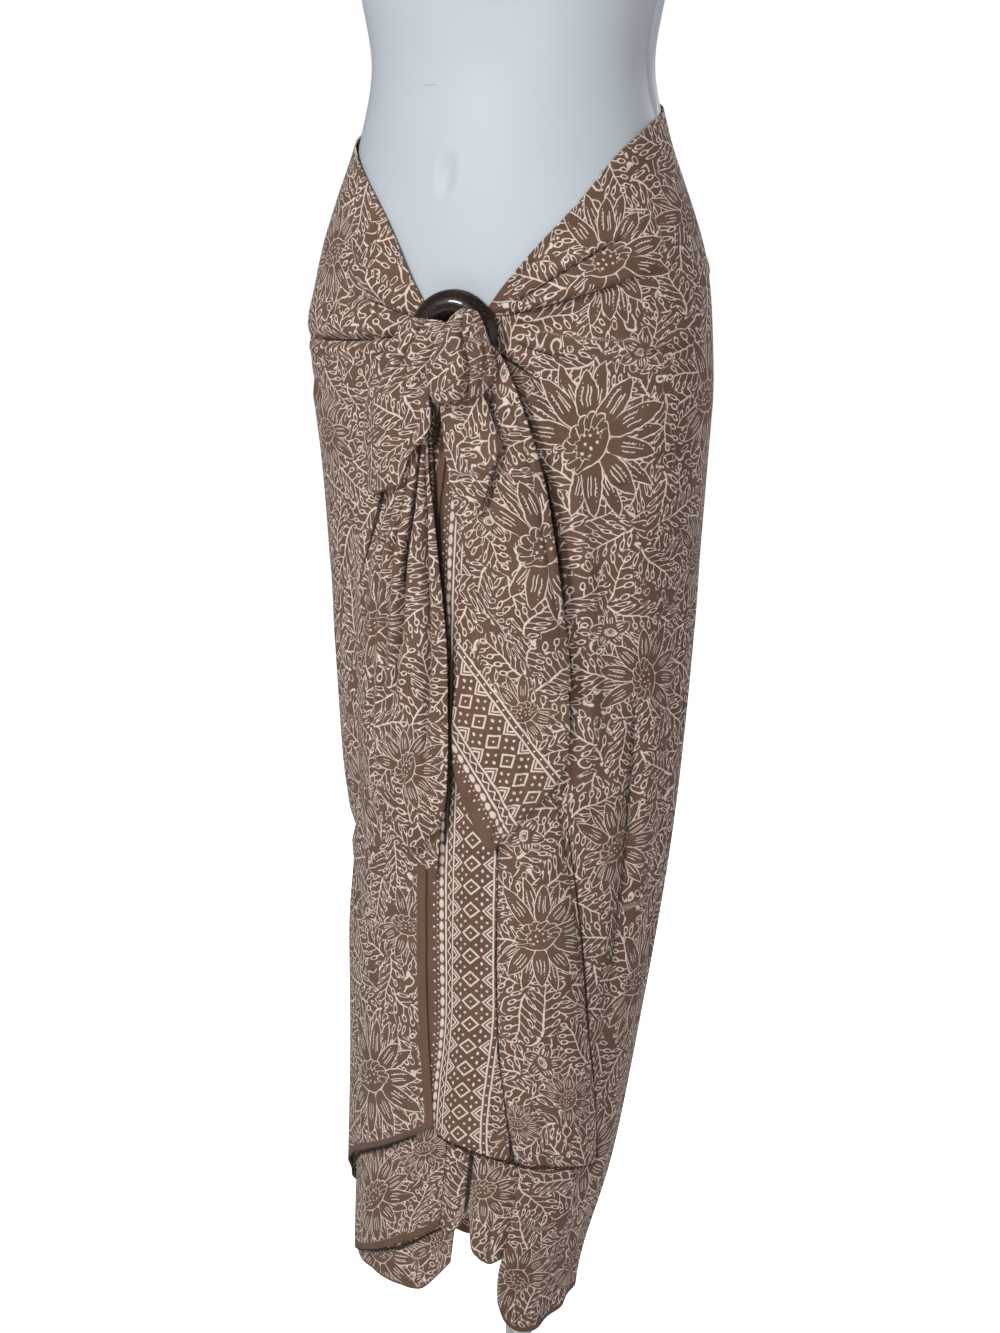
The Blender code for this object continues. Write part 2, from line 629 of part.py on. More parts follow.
def add_tails():
    """The two corners that come out of the ring, each folded over itself."""

    def knot_ripple(across, down):
        return -0.006 * ramp((down - 0.3) / 0.2) * np.exp(-(((across - 0.6) / 0.09) ** 2))

    def tail_right_ripple(across, down):
        fall = ramp((down - 0.12) / 0.12) * (1 - ramp((down - 0.45) / 0.25))
        return -0.0085 * fall * np.exp(-(((across - 0.76 + 0.5 * down) / 0.11) ** 2))

    def tail_left_ripple(across, down):
        grown = ramp(down / 0.2) * (1 - ramp((down - 0.45) / 0.45))
        first = 0.0080 * np.exp(-(((across - 0.50) / 0.075) ** 2))
        second = 0.0060 * np.exp(-(((across - 0.77) / 0.065) ** 2))
        return -grown * (first + second)

    add_sheet("tail_left_flap", strip_points(FLAP_STRIP, 17, 9))
    add_sheet("tail_left", strip_points(TAIL_LEFT_STRIP, 13, 14, tail_left_ripple))
    add_sheet("tail_left_corner", strip_points(TAIL_LEFT_CORNER_STRIP, 8, 8))
    add_sheet("tail_right_knot", strip_points(KNOT_STRIP, 13, 11, knot_ripple))
    add_sheet("tail_right", strip_points(TAIL_RIGHT_STRIP, 15, 12, tail_right_ripple))
    add_sheet("tail_right_corner", strip_points(TAIL_RIGHT_CORNER_STRIP, 11, 11))


clear_scene()
garment = bpy.data.collections.new("sarong_on_form")
bpy.context.scene.collection.children.link(garment)
add_form()
add_stand()
add_ring()
add_wraps()
add_front_layers()
add_tails()
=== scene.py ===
"""Looks of a batik sarong on its display form.

The cloth is dressed as thin shells on the same surfaces as its solids, with finer folds and
its wax resist pattern. Lengths are metres, +Z is up and the front of the garment faces -Y.
Angles go round the body in degrees, 0 at the front and 90 at +X. Heights in the tables are
measured from the body's datum, a little above the floor.
"""
import logging
import math
from dataclasses import dataclass
from enum import Enum
from typing import Callable, Sequence

import bmesh
import bpy
import numpy as np
from mathutils import Matrix, Vector


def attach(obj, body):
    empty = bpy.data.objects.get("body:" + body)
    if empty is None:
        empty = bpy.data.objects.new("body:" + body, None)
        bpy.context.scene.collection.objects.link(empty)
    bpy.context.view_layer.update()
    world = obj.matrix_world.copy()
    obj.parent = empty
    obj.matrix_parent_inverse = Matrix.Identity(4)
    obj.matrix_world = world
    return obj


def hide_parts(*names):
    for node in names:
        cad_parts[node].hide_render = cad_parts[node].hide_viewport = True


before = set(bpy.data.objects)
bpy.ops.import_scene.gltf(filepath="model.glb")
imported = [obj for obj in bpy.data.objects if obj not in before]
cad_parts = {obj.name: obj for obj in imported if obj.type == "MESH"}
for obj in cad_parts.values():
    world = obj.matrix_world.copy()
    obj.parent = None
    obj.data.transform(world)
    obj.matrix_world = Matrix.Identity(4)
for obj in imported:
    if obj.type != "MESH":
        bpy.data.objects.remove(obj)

log = logging.getLogger("sarong")
Rows = Sequence[Sequence[float]]
Triple = tuple[float, float, float]
Array = np.ndarray
Numbers = Array | float
Value = "Wire | float"
Piece, Mesh, Finish = bpy.types.Object, bpy.types.Mesh, bpy.types.Material
Node, Tree, Socket = bpy.types.Node, bpy.types.NodeTree, bpy.types.NodeSocket
FAR = 9.0
# Metres in a degree: round the hips for creases, and the mean used to find a nearest point
DEGREE = 0.00236
MEAN_DEGREE = 0.0022

# Form: height, half width, depth in front, depth behind
FORM_ROWS = (
    (0.85, 0.138, 0.086, 0.098), (0.86, 0.154, 0.098, 0.109), (0.885, 0.168, 0.109, 0.118),
    (0.93, 0.174, 0.113, 0.121), (0.98, 0.173, 0.113, 0.118), (1.04, 0.165, 0.11, 0.107),
    (1.1, 0.149, 0.103, 0.094), (1.15, 0.134, 0.096, 0.086), (1.205, 0.1235, 0.09, 0.083),
    (1.26, 0.132, 0.094, 0.088), (1.32, 0.145, 0.103, 0.093), (1.38, 0.154, 0.11, 0.095),
    (1.44, 0.158, 0.105, 0.096), (1.5, 0.166, 0.091, 0.092), (1.545, 0.168, 0.076, 0.084),
    (1.58, 0.14, 0.064, 0.072), (1.605, 0.09, 0.055, 0.06), (1.63, 0.06, 0.05, 0.053),
    (1.67, 0.054, 0.049, 0.049),
)
# Hanging drape: height, half width, front, back, shift in x and in y
DRAPE_ROWS = (
    (0.04, 0.096, 0.092, 0.072, -0.036, -0.026), (0.16, 0.107, 0.102, 0.08, -0.03, -0.025),
    (0.25, 0.116, 0.109, 0.085, -0.019, -0.022), (0.395, 0.128, 0.117, 0.094, -0.006, -0.016),
    (0.58, 0.145, 0.123, 0.106, 0.004, -0.01), (0.76, 0.161, 0.122, 0.116, 0.003, -0.004),
    (0.93, 0.1752, 0.1142, 0.1222, 0, 0),
)
# Upper and lower edges: angle, height
TOP_ROWS = (
    (-180, 1.195), (-120, 1.178), (-90, 1.158), (-62, 1.134), (-38, 1.093), (-23, 1.056),
    (-10, 1.013), (5, 0.974), (19, 1.017), (33, 1.054), (50, 1.092), (66, 1.131),
    (82, 1.155), (100, 1.17), (120, 1.18), (180, 1.195),
)
HEM_ROWS = (
    (-100, 0.18), (-75, 0.228), (-50, 0.267), (-25, 0.291), (-8, 0.31), (4, 0.325),
)
BACK_HEM_ROWS = (
    (100, 0.132), (120, 0.138), (150, 0.136), (180, 0.134), (210, 0.134), (240, 0.15),
    (260, 0.18),
)
RIGHT_HEM_ROWS = (
    (30, 0.21), (36, 0.19), (40, 0.166), (45, 0.142), (52, 0.127), (61, 0.121),
    (74, 0.124), (100, 0.132),
)
BORDER_HEM_ROWS = ((-16, 0.325), (4, 0.321), (10, 0.308), (24, 0.301), (35, 0.297), (46, 0.292))
PLEAT_HEM_ROWS = ((36, 0.3), (50, 0.294), (61, 0.289), (80, 0.281))
MIDDLE_HEM_ROWS = ((-74, 0.158), (-40, 0.178), (-12, 0.205), (0, 0.218), (9, 0.231))
LOW_HEM_ROWS = ((-78, 0.16), (-33, 0.164), (-12, 0.163), (3, 0.166), (10, 0.18), (16, 0.194))
CENTRE_HEM_ROWS = (
    (9, 0.234), (14, 0.226), (18, 0.232), (22, 0.24), (25, 0.214), (29, 0.203), (34, 0.196),
    (41, 0.199),
)
# Upright edges: height, angle
LEFT_EDGE_ROWS = (
    (0.32, 3), (0.44, -4), (0.54, -6.4), (0.7, -5), (0.86, -2), (0.92, 2),
    (0.96, 4.6), (1, 4.6),
)
RIGHT_EDGE_ROWS = (
    (0.1, 46), (0.14, 43.5), (0.186, 40), (0.215, 41.2), (0.26, 42), (0.32, 40.3),
    (0.38, 37.4), (0.44, 34.2), (0.56, 29), (0.7, 22.5), (0.8, 17), (0.88, 10),
    (0.93, 5.8), (0.96, 5.2), (1, 5.2),
)
BORDER_TOP_ROWS = ((-16, 0.9), (-4, 0.905), (3, 0.915), (12, 0.905))
# Upright folds: angle, half width, height where the fold starts, rise at the hem
FOLD_ROWS = (
    (-84, 8, 0.98, 0.007), (-62, 9, 0.8, 0.003), (-34, 11, 0.55, 0.002), (66, 7, 0.72, 0.004),
    (87, 7, 0.9, 0.004), (108, 7, 1.08, 0.005), (126, 8, 0.98, 0.007), (145, 7, 1.06, 0.01),
    (163, 8, 0.98, 0.016), (181, 8, 1.08, 0.012), (199, 7, 0.98, 0.015), (217, 8, 1.04, 0.012),
    (235, 8, 0.98, 0.013), (253, 7, 0.93, 0.009),
)
# Swells: angle, height, half width, half height, rise
SWELL_ROWS = (
    (-66, 0.99, 26, 0.075, 0.009), (-70, 1.075, 24, 0.06, 0.005),
    (-64, 0.545, 24, 0.05, -0.007), (96, 1.06, 24, 0.06, 0.005), (84, 0.15, 34, 0.08, -0.012),
)
# Gathers: direction from the ring, length, rise
GATHER_ROWS = (
    (46, 0.15, 0.005), (22, 0.24, 0.0095), (-3, 0.2, 0.0085), (-38, 0.18, 0.008),
    (132, 0.14, 0.005), (154, 0.18, 0.008), (177, 0.25, 0.011), (206, 0.17, 0.007),
)
# Fine creases: angle and height of the start and the end, bow, width, depth; the deeper ones also
# get a painted shade line along their bottom
CREASE_ROWS = (
    (24, 1.01, 76, 1.083, 0.001, 0.0024, 0.0052),
    (19, 1.003, 82, 1.051, -0.004, 0.0026, 0.0058),
    (18, 1.004, 34, 1.016, 0.001, 0.0022, 0.0036),
    (20, 0.9995, 44, 0.996, 0.003, 0.0022, 0.0034),
    (28, 0.985, 50, 0.967, 0.001, 0.003, 0.0046), (19, 0.979, 42, 0.944, 0.003, 0.0034, 0.005),
    (60, 0.973, 92, 0.984, 0.003, 0.0036, 0.0034), (26, 1.026, 56, 1.09, 0.004, 0.004, 0.002),
    (58, 0.862, 96, 0.905, 0.006, 0.007, 0.0022), (66, 0.8, 96, 0.822, 0.004, 0.006, 0.0018),
    (62, 0.61, 92, 0.64, 0.004, 0.008, 0.0018), (-11, 1.001, -54, 1.027, 0.001, 0.0024, 0.005),
    (-8, 0.992, -44, 0.985, 0.001, 0.0034, 0.007),
    (-30, 0.986, -80, 0.984, 0.002, 0.0044, 0.0074),
    (-9, 0.976, -34, 0.95, 0.004, 0.003, 0.004), (-14, 1.014, -60, 1.076, 0.006, 0.0034, 0.003),
    (-40, 0.93, -82, 0.955, 0.006, 0.006, 0.0032), (-86, 0.99, -120, 1, 0.006, 0.008, 0.0034),
    (-80, 0.89, -112, 0.93, 0.006, 0.008, 0.003), (-52, 0.57, -90, 0.552, 0.004, 0.008, 0.003),
    (98, 1.03, 132, 1.05, 0.006, 0.004, 0.0042), (110, 0.96, 150, 0.985, 0.006, 0.0045, 0.004),
    (246, 1, 214, 1.02, 0.006, 0.004, 0.0044), (236, 0.93, 204, 0.955, 0.006, 0.0045, 0.004),
    (153, 0.62, 156, 0.2, 0.004, 0.006, 0.0042), (190, 0.72, 188, 0.22, 0.004, 0.006, 0.0044),
    (227, 0.64, 224, 0.23, 0.004, 0.006, 0.0042), (26, 0.962, 39, 0.88, 0.003, 0.005, 0.004),
    (37, 0.9, 46, 0.735, 0.004, 0.008, 0.009), (46, 0.735, 44, 0.64, 0.002, 0.009, 0.007),
    (57, 0.85, 59, 0.56, 0.003, 0.011, 0.0027), (68, 0.72, 70, 0.33, 0.004, 0.009, 0.0042),
    (84, 0.84, 86, 0.36, 0.004, 0.007, 0.0022), (98, 0.82, 97, 0.3, 0.004, 0.01, 0.003),
    (-48, 0.86, -50, 0.42, 0.006, 0.009, 0.0028), (-72, 0.8, -74, 0.3, 0.004, 0.01, 0.003),
)
# Painted shade in the gaps beside an upper layer, each a chain of angle, height and half width
PAINTED_SHADE_GAP_ROWS = (
    ((-1.6, 0.942, 0.0018), (-5.2, 0.904, 0.0048)),
    ((-5.6, 0.905, 0.0012), (-2.4, 0.815, 0.0022), (2.4, 0.72, 0.0042),
     (3, 0.64, 0.004), (1, 0.575, 0.0016)),
    ((-21.5, 0.914, 0.0012), (-31.5, 0.842, 0.0026), (-38, 0.8, 0.0006)),
    ((-37, 0.622, 0.0006), (-24, 0.579, 0.0012), (-5, 0.548, 0.0006)),
    ((46.4, 0.735, 0.0012), (47.2, 0.68, 0.0014), (40, 0.621, 0.0012), (21.5, 0.572, 0.0014)),
    ((22.2, 0.6, 0.0006), (23.8, 0.48, 0.0012), (27.6, 0.398, 0.0016), (38.2, 0.298, 0.0024)),
    ((47, 0.59, 0.0006), (64, 0.398, 0.0016), (80, 0.284, 0.003)),
    ((46, 0.289, 0.0016), (80, 0.276, 0.0026)),
    ((-75, 0.227, 0.001), (-50, 0.266, 0.0016), (-25, 0.29, 0.0018), (-7, 0.31, 0.0014)),
    ((5, 0.314, 0.0014), (46, 0.288, 0.0018)),
    ((-74, 0.154, 0.001), (-12, 0.199, 0.0018), (9, 0.226, 0.001)),
)
# Strips: left angle and height, right angle and height, lift at the left, middle and right
PLEAT_STRIP = (
    (14, 0.88, 20, 0.88, 0.0024, 0.0026, 0.0024), (19, 0.76, 30, 0.76, 0.0024, 0.0032, 0.0024),
    (22.5, 0.65, 39, 0.65, 0.0024, 0.006, 0.0024), (23, 0.57, 46, 0.57, 0.003, 0.01, 0.0026),
    (24.5, 0.48, 54, 0.48, 0.0034, 0.0125, 0.003), (28, 0.4, 62.5, 0.4, 0.0036, 0.014, 0.004),
    (33.5, 0.34, 70.5, 0.335, 0.0036, 0.015, 0.006),
    (39, 0.297, 77, 0.283, 0.0036, 0.015, 0.006),
)
MIDDLE_STRIP = (
    (-72, 0.36, 8.6, 0.38, -0.0026, -0.003, -0.0026),
    (-72, 0.29, 8.6, 0.32, -0.0026, -0.0034, -0.0026),
    (-73, 0.22, 8.7, 0.275, -0.0026, -0.003, -0.0026),
    (-74, 0.158, 8.8, 0.231, -0.0026, -0.0026, -0.0026),
)
LOW_STRIP = (
    (-78, 0.3, 15.5, 0.32, -0.006, -0.0066, -0.0076),
    (-78, 0.23, 15.8, 0.26, -0.006, -0.007, -0.008),
    (-78, 0.16, 16, 0.194, -0.0056, -0.0062, -0.0084),
)
CENTRE_STRIP = (
    (9, 0.38, 46, 0.365, -0.0032, -0.0034, -0.0036),
    (9, 0.3, 45, 0.29, -0.0029, -0.003, -0.0038),
    (9.1, 0.26, 43, 0.24, -0.0026, -0.002, -0.005),
    (9.2, 0.234, 41, 0.199, -0.0026, -0.0014, -0.006),
)
FLAP_STRIP = (
    (0.9, 0.988, 4.6, 0.988, 0.0024, 0.0024, 0.0024),
    (0.7, 0.991, 4.6, 0.991, 0.015, 0.015, 0.015), (-1.5, 1.0005, 4.6, 1, 0.0232, 0.024, 0.024),
    (-10, 1.002, 4.4, 0.999, 0.0232, 0.0264, 0.0245),
    (-20.5, 0.98, 2.6, 0.976, 0.017, 0.029, 0.024),
    (-31, 0.95, 0.5, 0.958, 0.0105, 0.0285, 0.024),
    (-36.6, 0.922, -1.8, 0.942, 0.0062, 0.027, 0.0235),
    (-37.4, 0.899, -1.2, 0.925, 0.005, 0.025, 0.023),
    (-35.9, 0.879, -4.2, 0.909, 0.0047, 0.0225, 0.022),
    (-34.8, 0.864, -10, 0.897, 0.0047, 0.0195, 0.0205),
    (-31, 0.857, -14.6, 0.87, 0.007, 0.0165, 0.0175),
)
TAIL_LEFT_STRIP = (
    (-17, 0.912, -5, 0.914, 0.01, 0.013, 0.013), (-22, 0.873, -4.3, 0.88, 0.0078, 0.014, 0.013),
    (-27.3, 0.84, -2.8, 0.849, 0.005, 0.016, 0.011),
    (-33, 0.805, -0.9, 0.813, 0.0046, 0.018, 0.0105),
    (-37.4, 0.737, 2.8, 0.749, 0.0056, 0.02, 0.0115),
    (-38.6, 0.668, 3.8, 0.684, 0.0076, 0.021, 0.012),
    (-35.6, 0.622, 3.6, 0.636, 0.0086, 0.021, 0.012),
    (-28.2, 0.592, 1.9, 0.602, 0.01, 0.019, 0.0115),
    (-17.2, 0.571, -7.2, 0.572, 0.012, 0.014, 0.012),
)
TAIL_LEFT_CORNER_STRIP = (
    (-35.5, 0.69, 0.6, 0.7, 0.0046, 0.0048, 0.0046),
    (-36, 0.633, 0.8, 0.65, 0.0044, 0.0048, 0.0046),
    (-33, 0.601, 0.4, 0.608, 0.0044, 0.005, 0.0048),
    (-23.5, 0.581, -0.3, 0.577, 0.0044, 0.0058, 0.0052),
    (-11.8, 0.562, -0.8, 0.557, 0.0046, 0.0056, 0.0052),
    (-3.4, 0.548, -1, 0.546, 0.0048, 0.005, 0.005),
)
KNOT_STRIP = (
    (5.8, 0.989, 9.6, 0.989, 0.0024, 0.0024, 0.0024),
    (5.8, 0.992, 9.8, 0.992, 0.015, 0.015, 0.015),
    (8.4, 1.003, 12, 1.003, 0.0235, 0.0245, 0.0235),
    (10.4, 1.0115, 14.6, 1.0105, 0.025, 0.027, 0.025),
    (6.8, 1.0045, 17, 1.003, 0.0262, 0.033, 0.0256),
    (4, 0.9935, 18.8, 0.9915, 0.0262, 0.037, 0.0262),
    (2.4, 0.982, 20.8, 0.979, 0.0263, 0.0395, 0.0266),
    (0.2, 0.968, 22, 0.9665, 0.0261, 0.04, 0.0254),
    (-1.8, 0.954, 20.4, 0.956, 0.026, 0.038, 0.025),
    (1.2, 0.937, 16.6, 0.944, 0.0256, 0.032, 0.0255),
)
TAIL_RIGHT_STRIP = (
    (6, 0.95, 20.6, 0.984, 0.0195, 0.023, 0.0234), (2, 0.94, 24.8, 0.969, 0.02, 0.0232, 0.0205),
    (2.2, 0.922, 31, 0.928, 0.0185, 0.023, 0.016),
    (3.7, 0.893, 34.9, 0.896, 0.0165, 0.0235, 0.013),
    (5.9, 0.862, 37.8, 0.866, 0.015, 0.0225, 0.0115),
    (9.8, 0.826, 39.9, 0.829, 0.014, 0.0215, 0.011),
    (13.8, 0.797, 41.4, 0.799, 0.0135, 0.0215, 0.011),
    (18.5, 0.774, 42.7, 0.77, 0.0135, 0.0215, 0.011),
    (26.2, 0.744, 44.2, 0.737, 0.014, 0.0195, 0.0115),
    (35.5, 0.72, 44.9, 0.708, 0.0135, 0.015, 0.012),
)
TAIL_RIGHT_CORNER_STRIP = (
    (6.2, 0.8, 36, 0.8, 0.0037, 0.0055, 0.0043),
    (6.4, 0.765, 40, 0.765, 0.0037, 0.0061, 0.0043),
    (6, 0.716, 44.4, 0.719, 0.0049, 0.0083, 0.0049),
    (4.6, 0.676, 45.8, 0.679, 0.0063, 0.0103, 0.0049),
    (5.4, 0.641, 44.5, 0.647, 0.0068, 0.0123, 0.0055),
    (8.3, 0.62, 40.2, 0.627, 0.0078, 0.0143, 0.0073),
    (12.7, 0.6, 32.3, 0.607, 0.0093, 0.0143, 0.0103),
    (17, 0.583, 24.5, 0.588, 0.0108, 0.0128, 0.0113),
    (19.2, 0.576, 21, 0.576, 0.0108, 0.0113, 0.0108),
)


def along(rows: Rows, at: Array) -> list[Array]:
    """The other columns of a table at these values of its first.

    Between two rows each column is a cubic whose slopes are the table's central differences.

    Args:
        rows: Rows of the table, the first column rising.
        at: Values of the first column.

    Returns:
        One array for each further column.
    """
    table = np.asarray(rows, float)
    key = table[:, 0]
    place = np.clip(np.asarray(at, float), key[0], key[-1])
    low = np.clip(np.searchsorted(key, place) - 1, 0, len(key) - 2)
    step = key[low + 1] - key[low]
    share = (place - key[low]) / step
    columns = []
    for values in table[:, 1:].T:
        slope = np.gradient(values, key)
        columns.append(
            (2 * share**3 - 3 * share**2 + 1) * values[low]
            + (share**3 - 2 * share**2 + share) * step * slope[low]
            + (3 * share**2 - 2 * share**3) * values[low + 1]
            + (share**3 - share**2) * step * slope[low + 1]
        )
    return columns


def ramp(value: Array) -> Array:
    """A smooth step from 0 to 1, 3s^2 - 2s^3."""
    share = np.clip(value, 0.0, 1.0)
    return share * share * (3 - 2 * share)


def come_and_go(value: Array, start: float, run_in: float, fade: float, run_out: float) -> Array:
    """A ramp up from a start over its run in, and down again from a fade over its run out."""
    return ramp((value - start) / run_in) * (1 - ramp((value - fade) / run_out))


def hump(value: Array, half_width: "float | Array") -> Array:
    """A bell of height 1, exp(-(v/w)^2)."""
    return np.exp(-((value / half_width) ** 2))


def side_by_side(*parts: Array) -> Array:
    """Arrays of one shape as the columns of a last axis."""
    return np.stack(parts, axis=-1)


def turn_from(angle: Array, centre: float) -> Array:
    """The turn from a centre to each angle, from -180 to 180 degrees."""
    return (angle - centre + 180) % 360 - 180


@dataclass(frozen=True)
class Body:
    """The body under the cloth: the form's ovals, and the plain drape that hangs from them."""

    datum: float = 0.040
    hang: float = 0.930
    form_gap: float = 0.0012
    axis_x: float = -0.008
    bust_height: float = 1.385
    bust_angle: float = 34.0
    bust_rise: float = 0.018

    def oval(self, angle: Array, width: Array, front: Array, back: Array) -> Array:
        """Radius 1 / sqrt((sin a / width)^2 + (cos a / depth)^2), front and back apart."""
        turn = np.radians(angle)
        depth = np.where(np.cos(turn) > 0, front, back)
        return 1 / np.sqrt((np.sin(turn) / width) ** 2 + (np.cos(turn) / depth) ** 2)

    def form_radius(self, angle: Array, height: Array) -> Array:
        """Radius of the bare form, without its bust."""
        return self.oval(angle, *along(FORM_ROWS, height))

    def drape(self, angle: Array, height: Array) -> tuple[Array, Array, Array]:
        """The plain drape: on the form down to the hip, then hanging free.

        Args:
            angle: Degrees round the body.
            height: Heights above the datum.

        Returns:
            Radius, and the shift of its centre in x and in y.
        """
        width, front, back, shift_x, shift_y = along(DRAPE_ROWS, height)
        hanging = height < self.hang
        on_form = self.form_radius(angle, height) + self.form_gap
        radius = np.where(hanging, self.oval(angle, width, front, back), on_form)
        return radius, np.where(hanging, shift_x, 0.0), np.where(hanging, shift_y, 0.0)

    def place(self, angle: Array, height: Array, lift: Array) -> Array:
        """Points this far out from the plain drape, centre + (radius + lift) (sin a, -cos a)."""
        radius, centre_x, centre_y = self.drape(angle, height)
        turn = np.radians(angle)
        x = self.axis_x + centre_x + (radius + lift) * np.sin(turn)
        y = centre_y - (radius + lift) * np.cos(turn)
        return side_by_side(x, y, height + self.datum + 0 * radius)

    def arc(self, angle: Array, height: Array) -> Array:
        """Distance round the plain drape from the front to each angle, at its height.

        It is the sum of sqrt(r^2 + (dr/da)^2) da in steps of 2 degrees, read between rows that
        are 20 mm apart.

        Args:
            angle: Degrees round the body, from -190 to 370.
            height: Heights above the datum.

        Returns:
            Distances in metres, negative to the left.
        """
        levels = np.arange(0.10, 1.24, 0.02)
        angles = np.arange(-190.0, 372.0, 2.0)
        radius = self.drape(angles[None, :] + 0 * levels[:, None], levels[:, None] + 0 * angles)[0]
        step = np.radians(2.0)
        speed = np.hypot(radius, np.gradient(radius, step, axis=1))
        length = np.cumsum(speed, axis=1) * step
        length = length - length[:, [int(np.argmin(np.abs(angles)))]]
        row = np.clip((height - levels[0]) / 0.02, 0, len(levels) - 1.001)
        column = np.clip((angle - angles[0]) / 2.0, 0, len(angles) - 1.001)
        low_row, low_column = row.astype(int), column.astype(int)
        row, column = row - low_row, column - low_column
        near = length[low_row, low_column] * (1 - column) + length[low_row, low_column + 1] * column
        low_row = low_row + 1
        far = length[low_row, low_column] * (1 - column) + length[low_row, low_column + 1] * column
        return near * (1 - row) + far * row


BODY = Body()


class Nearest:
    """Three numbers for each point of a grid, kept from the mark that lies nearest to it."""

    def __init__(self, shape: tuple[int, ...]) -> None:
        """Starts with no mark near."""
        self.distance = np.full(shape, FAR)
        self.values = np.zeros(shape + (3,))

    def offer(
        self, distance: Array, values: Sequence[Array], allowed: Numbers = True
    ) -> None:
        """Takes a mark's numbers where it is allowed and nearer than the marks before it."""
        closer = (distance < self.distance) & allowed
        np.copyto(self.distance, distance, where=closer)
        for channel, value in enumerate(values):
            np.copyto(self.values[..., channel], value, where=closer)


def painted_shade_line(
    aside: Array, half: Array, dark: Array, reach: Numbers
) -> tuple[Array, ...]:
    """A painted shade line's three numbers: distance, half width, and darkness within its reach."""
    return aside, half, dark * (np.abs(aside) < 1.2 * reach + 0.0020)


@dataclass(frozen=True)
class Bloom:
    """A large sunflower of the print: its middle, its radius, its turn and its squash."""

    angle: float
    height: float
    radius: float = 0.062
    turn: float = 0.0
    squash: float = 1.0


def sunflowers(*rows: Sequence[float]) -> tuple[Bloom, ...]:
    """One sunflower for each row of angle, height, radius, turn and squash."""
    return tuple(Bloom(*row) for row in rows)


@dataclass
class ClothGrid:
    """A stretch of cloth as a grid, its rows from top to bottom.

    Attributes:
        angle: Degrees round the body.
        height: Heights above the datum.
        lift: Distance out from the plain drape.
        flat: The cloth's own two coordinates, from its short edge and along it.
        hem: Distance from the nearest hem.
        shade_lines: Distance from the nearest painted shade line of the creases and gaps, its half
            width, and how dark it is.
    """

    angle: Array
    height: Array
    lift: Array
    flat: Array | None = None
    hem: Array | None = None
    shade_lines: Array | None = None

    def points(self) -> Array:
        """Places of the grid's inner face."""
        return BODY.place(self.angle, self.height, self.lift)

    def cut(self) -> tuple[float, float]:
        """Mean width and mean length of the stretch, measured on its surface."""
        points = self.points()
        across = np.linalg.norm(np.diff(points, axis=1), axis=-1).sum(axis=1).mean()
        down = np.linalg.norm(np.diff(points, axis=0), axis=-1).sum(axis=0).mean()
        return float(across), float(down)

    def area(self) -> float:
        """Area of the stretch, half the cross product of each cell's diagonals."""
        points = self.points()
        first = points[1:, 1:] - points[:-1, :-1]
        second = points[:-1, 1:] - points[1:, :-1]
        return float(np.linalg.norm(np.cross(first, second), axis=-1).sum() / 2)

    def nearest(self, angle: float, height: float) -> tuple[int, ...]:
        """Row and column of the point nearest to an angle and a height."""
        gap = np.abs(turn_from(self.angle, angle)) * MEAN_DEGREE + np.abs(self.height - height)
        return np.unravel_index(np.argmin(gap), gap.shape)

    def petals(self, blooms: Sequence[Bloom]) -> Array:
        """Where each point lies on its nearest sunflower.

        The offset from the middle is turned, squashed and divided by the radius, and the last
        number is 1 within the flower and 0 away from it.

        Args:
            blooms: The sunflowers on this stretch.

        Returns:
            Array of the same rows and columns with three numbers for each point.
        """
        marks = Nearest(self.angle.shape)
        marks.values[..., 0] = FAR
        for bloom in blooms:
            offset = (self.flat - self.flat[self.nearest(bloom.angle, bloom.height)]) / bloom.radius
            turn = math.radians(bloom.turn)
            x = offset[..., 0] * math.cos(turn) + offset[..., 1] * math.sin(turn)
            y = (offset[..., 1] * math.cos(turn) - offset[..., 0] * math.sin(turn)) / bloom.squash
            reach = np.hypot(x, y)
            marks.offer(reach, (x, y, reach < 1.35))
        return marks.values


